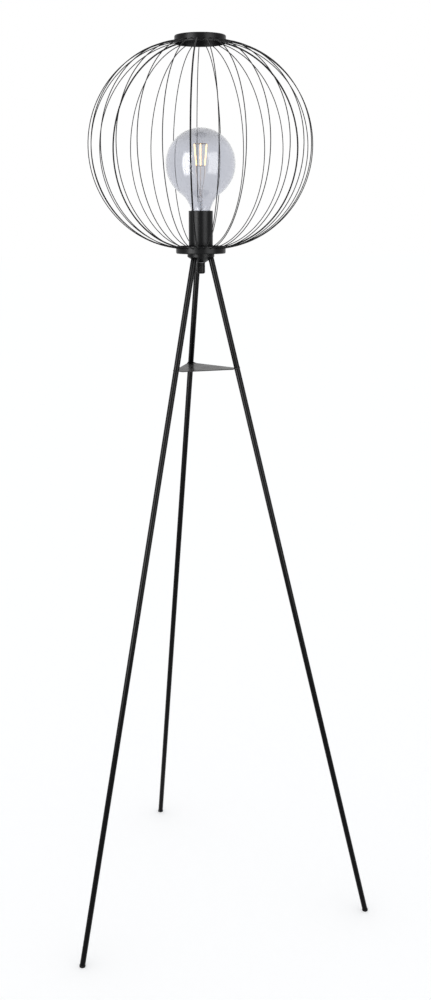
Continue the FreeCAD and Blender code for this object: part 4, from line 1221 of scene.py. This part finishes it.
if "Scale" in swept.inputs:
    strips.links.new(slim, swept.inputs["Scale"])
leant = add_node(strips, "GeometryNodeTransform",
                 values={"Geometry": smoothed(strips, swept.outputs[0]),
                         "Rotation": combine(strips, Y=given["Lean"])})
offset = add_node(strips, "GeometryNodeTransform",
                  values={"Geometry": leant.outputs[0],
                          "Translation": combine(strips, X=given["Lower Radius"], Z=given["Height"])})
copy_round(strips, given, on_axis(strips, given), offset.outputs[0], own_angle(strips, given)[1])
glow_strips = grow("glowing_strips", strips, {
    "Places": FILAMENTS, "First Angle": FILAMENT_TURN, "Lower Radius": LOWER_HOOP * MM,
    "Height": lower_level * MM, "Length": strip_length * MM, "Lean": math.atan2(run_out, rise),
    "Strip Radius": STRIP_RADIUS * MM, "Material": filament_coat})
stand_in(glow_strips, "bulb", "filament_coat", "filaments")
print("strips:", FILAMENTS, "of %.1f mm" % strip_length)

# %% [markdown]
# ## Cord grip
#
# Below the hub, a short moulded grip is screwed on the hollow stem with a plated washer. A turned groove
# marks its thread end, the lower end is rounded, and a slotted screw at the back clamps the cord.

# %% Spin the cord grip
GRIP_RADIUS = 7.5
GRIP_GROOVE = GRIP_RADIUS - 0.45
CORD_BORE = 3.6
GRIP_THREAD = 5.05
grip_low, grip_high = span("cord_grip")
grip = turned("moulded_cord_grip", [
    (CORD_BORE, grip_low, 0.5), (GRIP_RADIUS, grip_low, 3.0), (GRIP_RADIUS, grip_high - 4.4, 0.2),
    (GRIP_GROOVE, grip_high - 4.1, 0.1), (GRIP_GROOVE, grip_high - 3.7, 0.1),
    (GRIP_RADIUS, grip_high - 3.4, 0.2), (GRIP_RADIUS, grip_high, 0.5), (GRIP_THREAD, grip_high),
    (GRIP_THREAD, grip_high - 9.0), (CORD_BORE, grip_high - 9.0)], grip_plastic, 80, 6)
stand_in(grip, "lamp", "grip_plastic", "cord_grip")
print("grip from %.1f to %.1f mm" % (grip_low, grip_high))

# %% [markdown]
# ## Small turned parts
#
# The grip's washer and the bulb's contact and insulator get the light edge break that such parts have.

# %% Spin the washer, the contact and the insulator
washer_low, washer_high = span("cord_grip_washer")
# The washer wears the darker copy of the zinc plate, which is painted shade.
washer = turned("plated_grip_washer", [
    (STEM_HOLE, washer_low), (8.0, washer_low, 0.3), (8.0, washer_high, 0.3),
    (STEM_HOLE, washer_high)], zinc_painted_shade, 64, 3)
stand_in(washer, "lamp", "zinc_steel", "cord_grip_washer")

contact_low, contact_high = span("bulb_contact")
contact = turned("solder_contact", [
    (0.0, contact_low), (3.0, contact_low, 0.9), (4.8, contact_low + 0.9, 0.5), (4.8, contact_high),
    (0.0, contact_high)], solder, 48, 6)
stand_in(contact, "bulb_base", "contact_metal", "bulb_contact")

glassy_low, glassy_high = span("bulb_insulator")
button = turned("vitrite_button", [
    (0.0, glassy_low), (6.3, glassy_low, 0.5), (11.9, glassy_low + 3.6, 1.2), (11.9, glassy_high, 0.3),
    (0.0, glassy_high)], dark_insulator, 72, 6)
stand_in(button, "bulb", "dark_insulator", "bulb_insulator")
print("turned parts done")

# %% [markdown]
# ## Bracket, nut and terminals
#
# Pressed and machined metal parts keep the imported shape, with softened edges.

# %% Soften the fixing parts
for name, node_name, slot, width in (
        ("pressed_bracket", "socket_bracket", "zinc_steel", 0.2),
        ("hex_lock_nut", "lock_nut", "zinc_steel", 0.3),
        ("brass_blocks", "terminal_blocks", "brass", 0.25),
        ("sprung_contact", "socket_spring", "brass", 0.08)):
    stand_in(softened(name, node_name, FINISHES[slot], width), "lamp", slot, node_name)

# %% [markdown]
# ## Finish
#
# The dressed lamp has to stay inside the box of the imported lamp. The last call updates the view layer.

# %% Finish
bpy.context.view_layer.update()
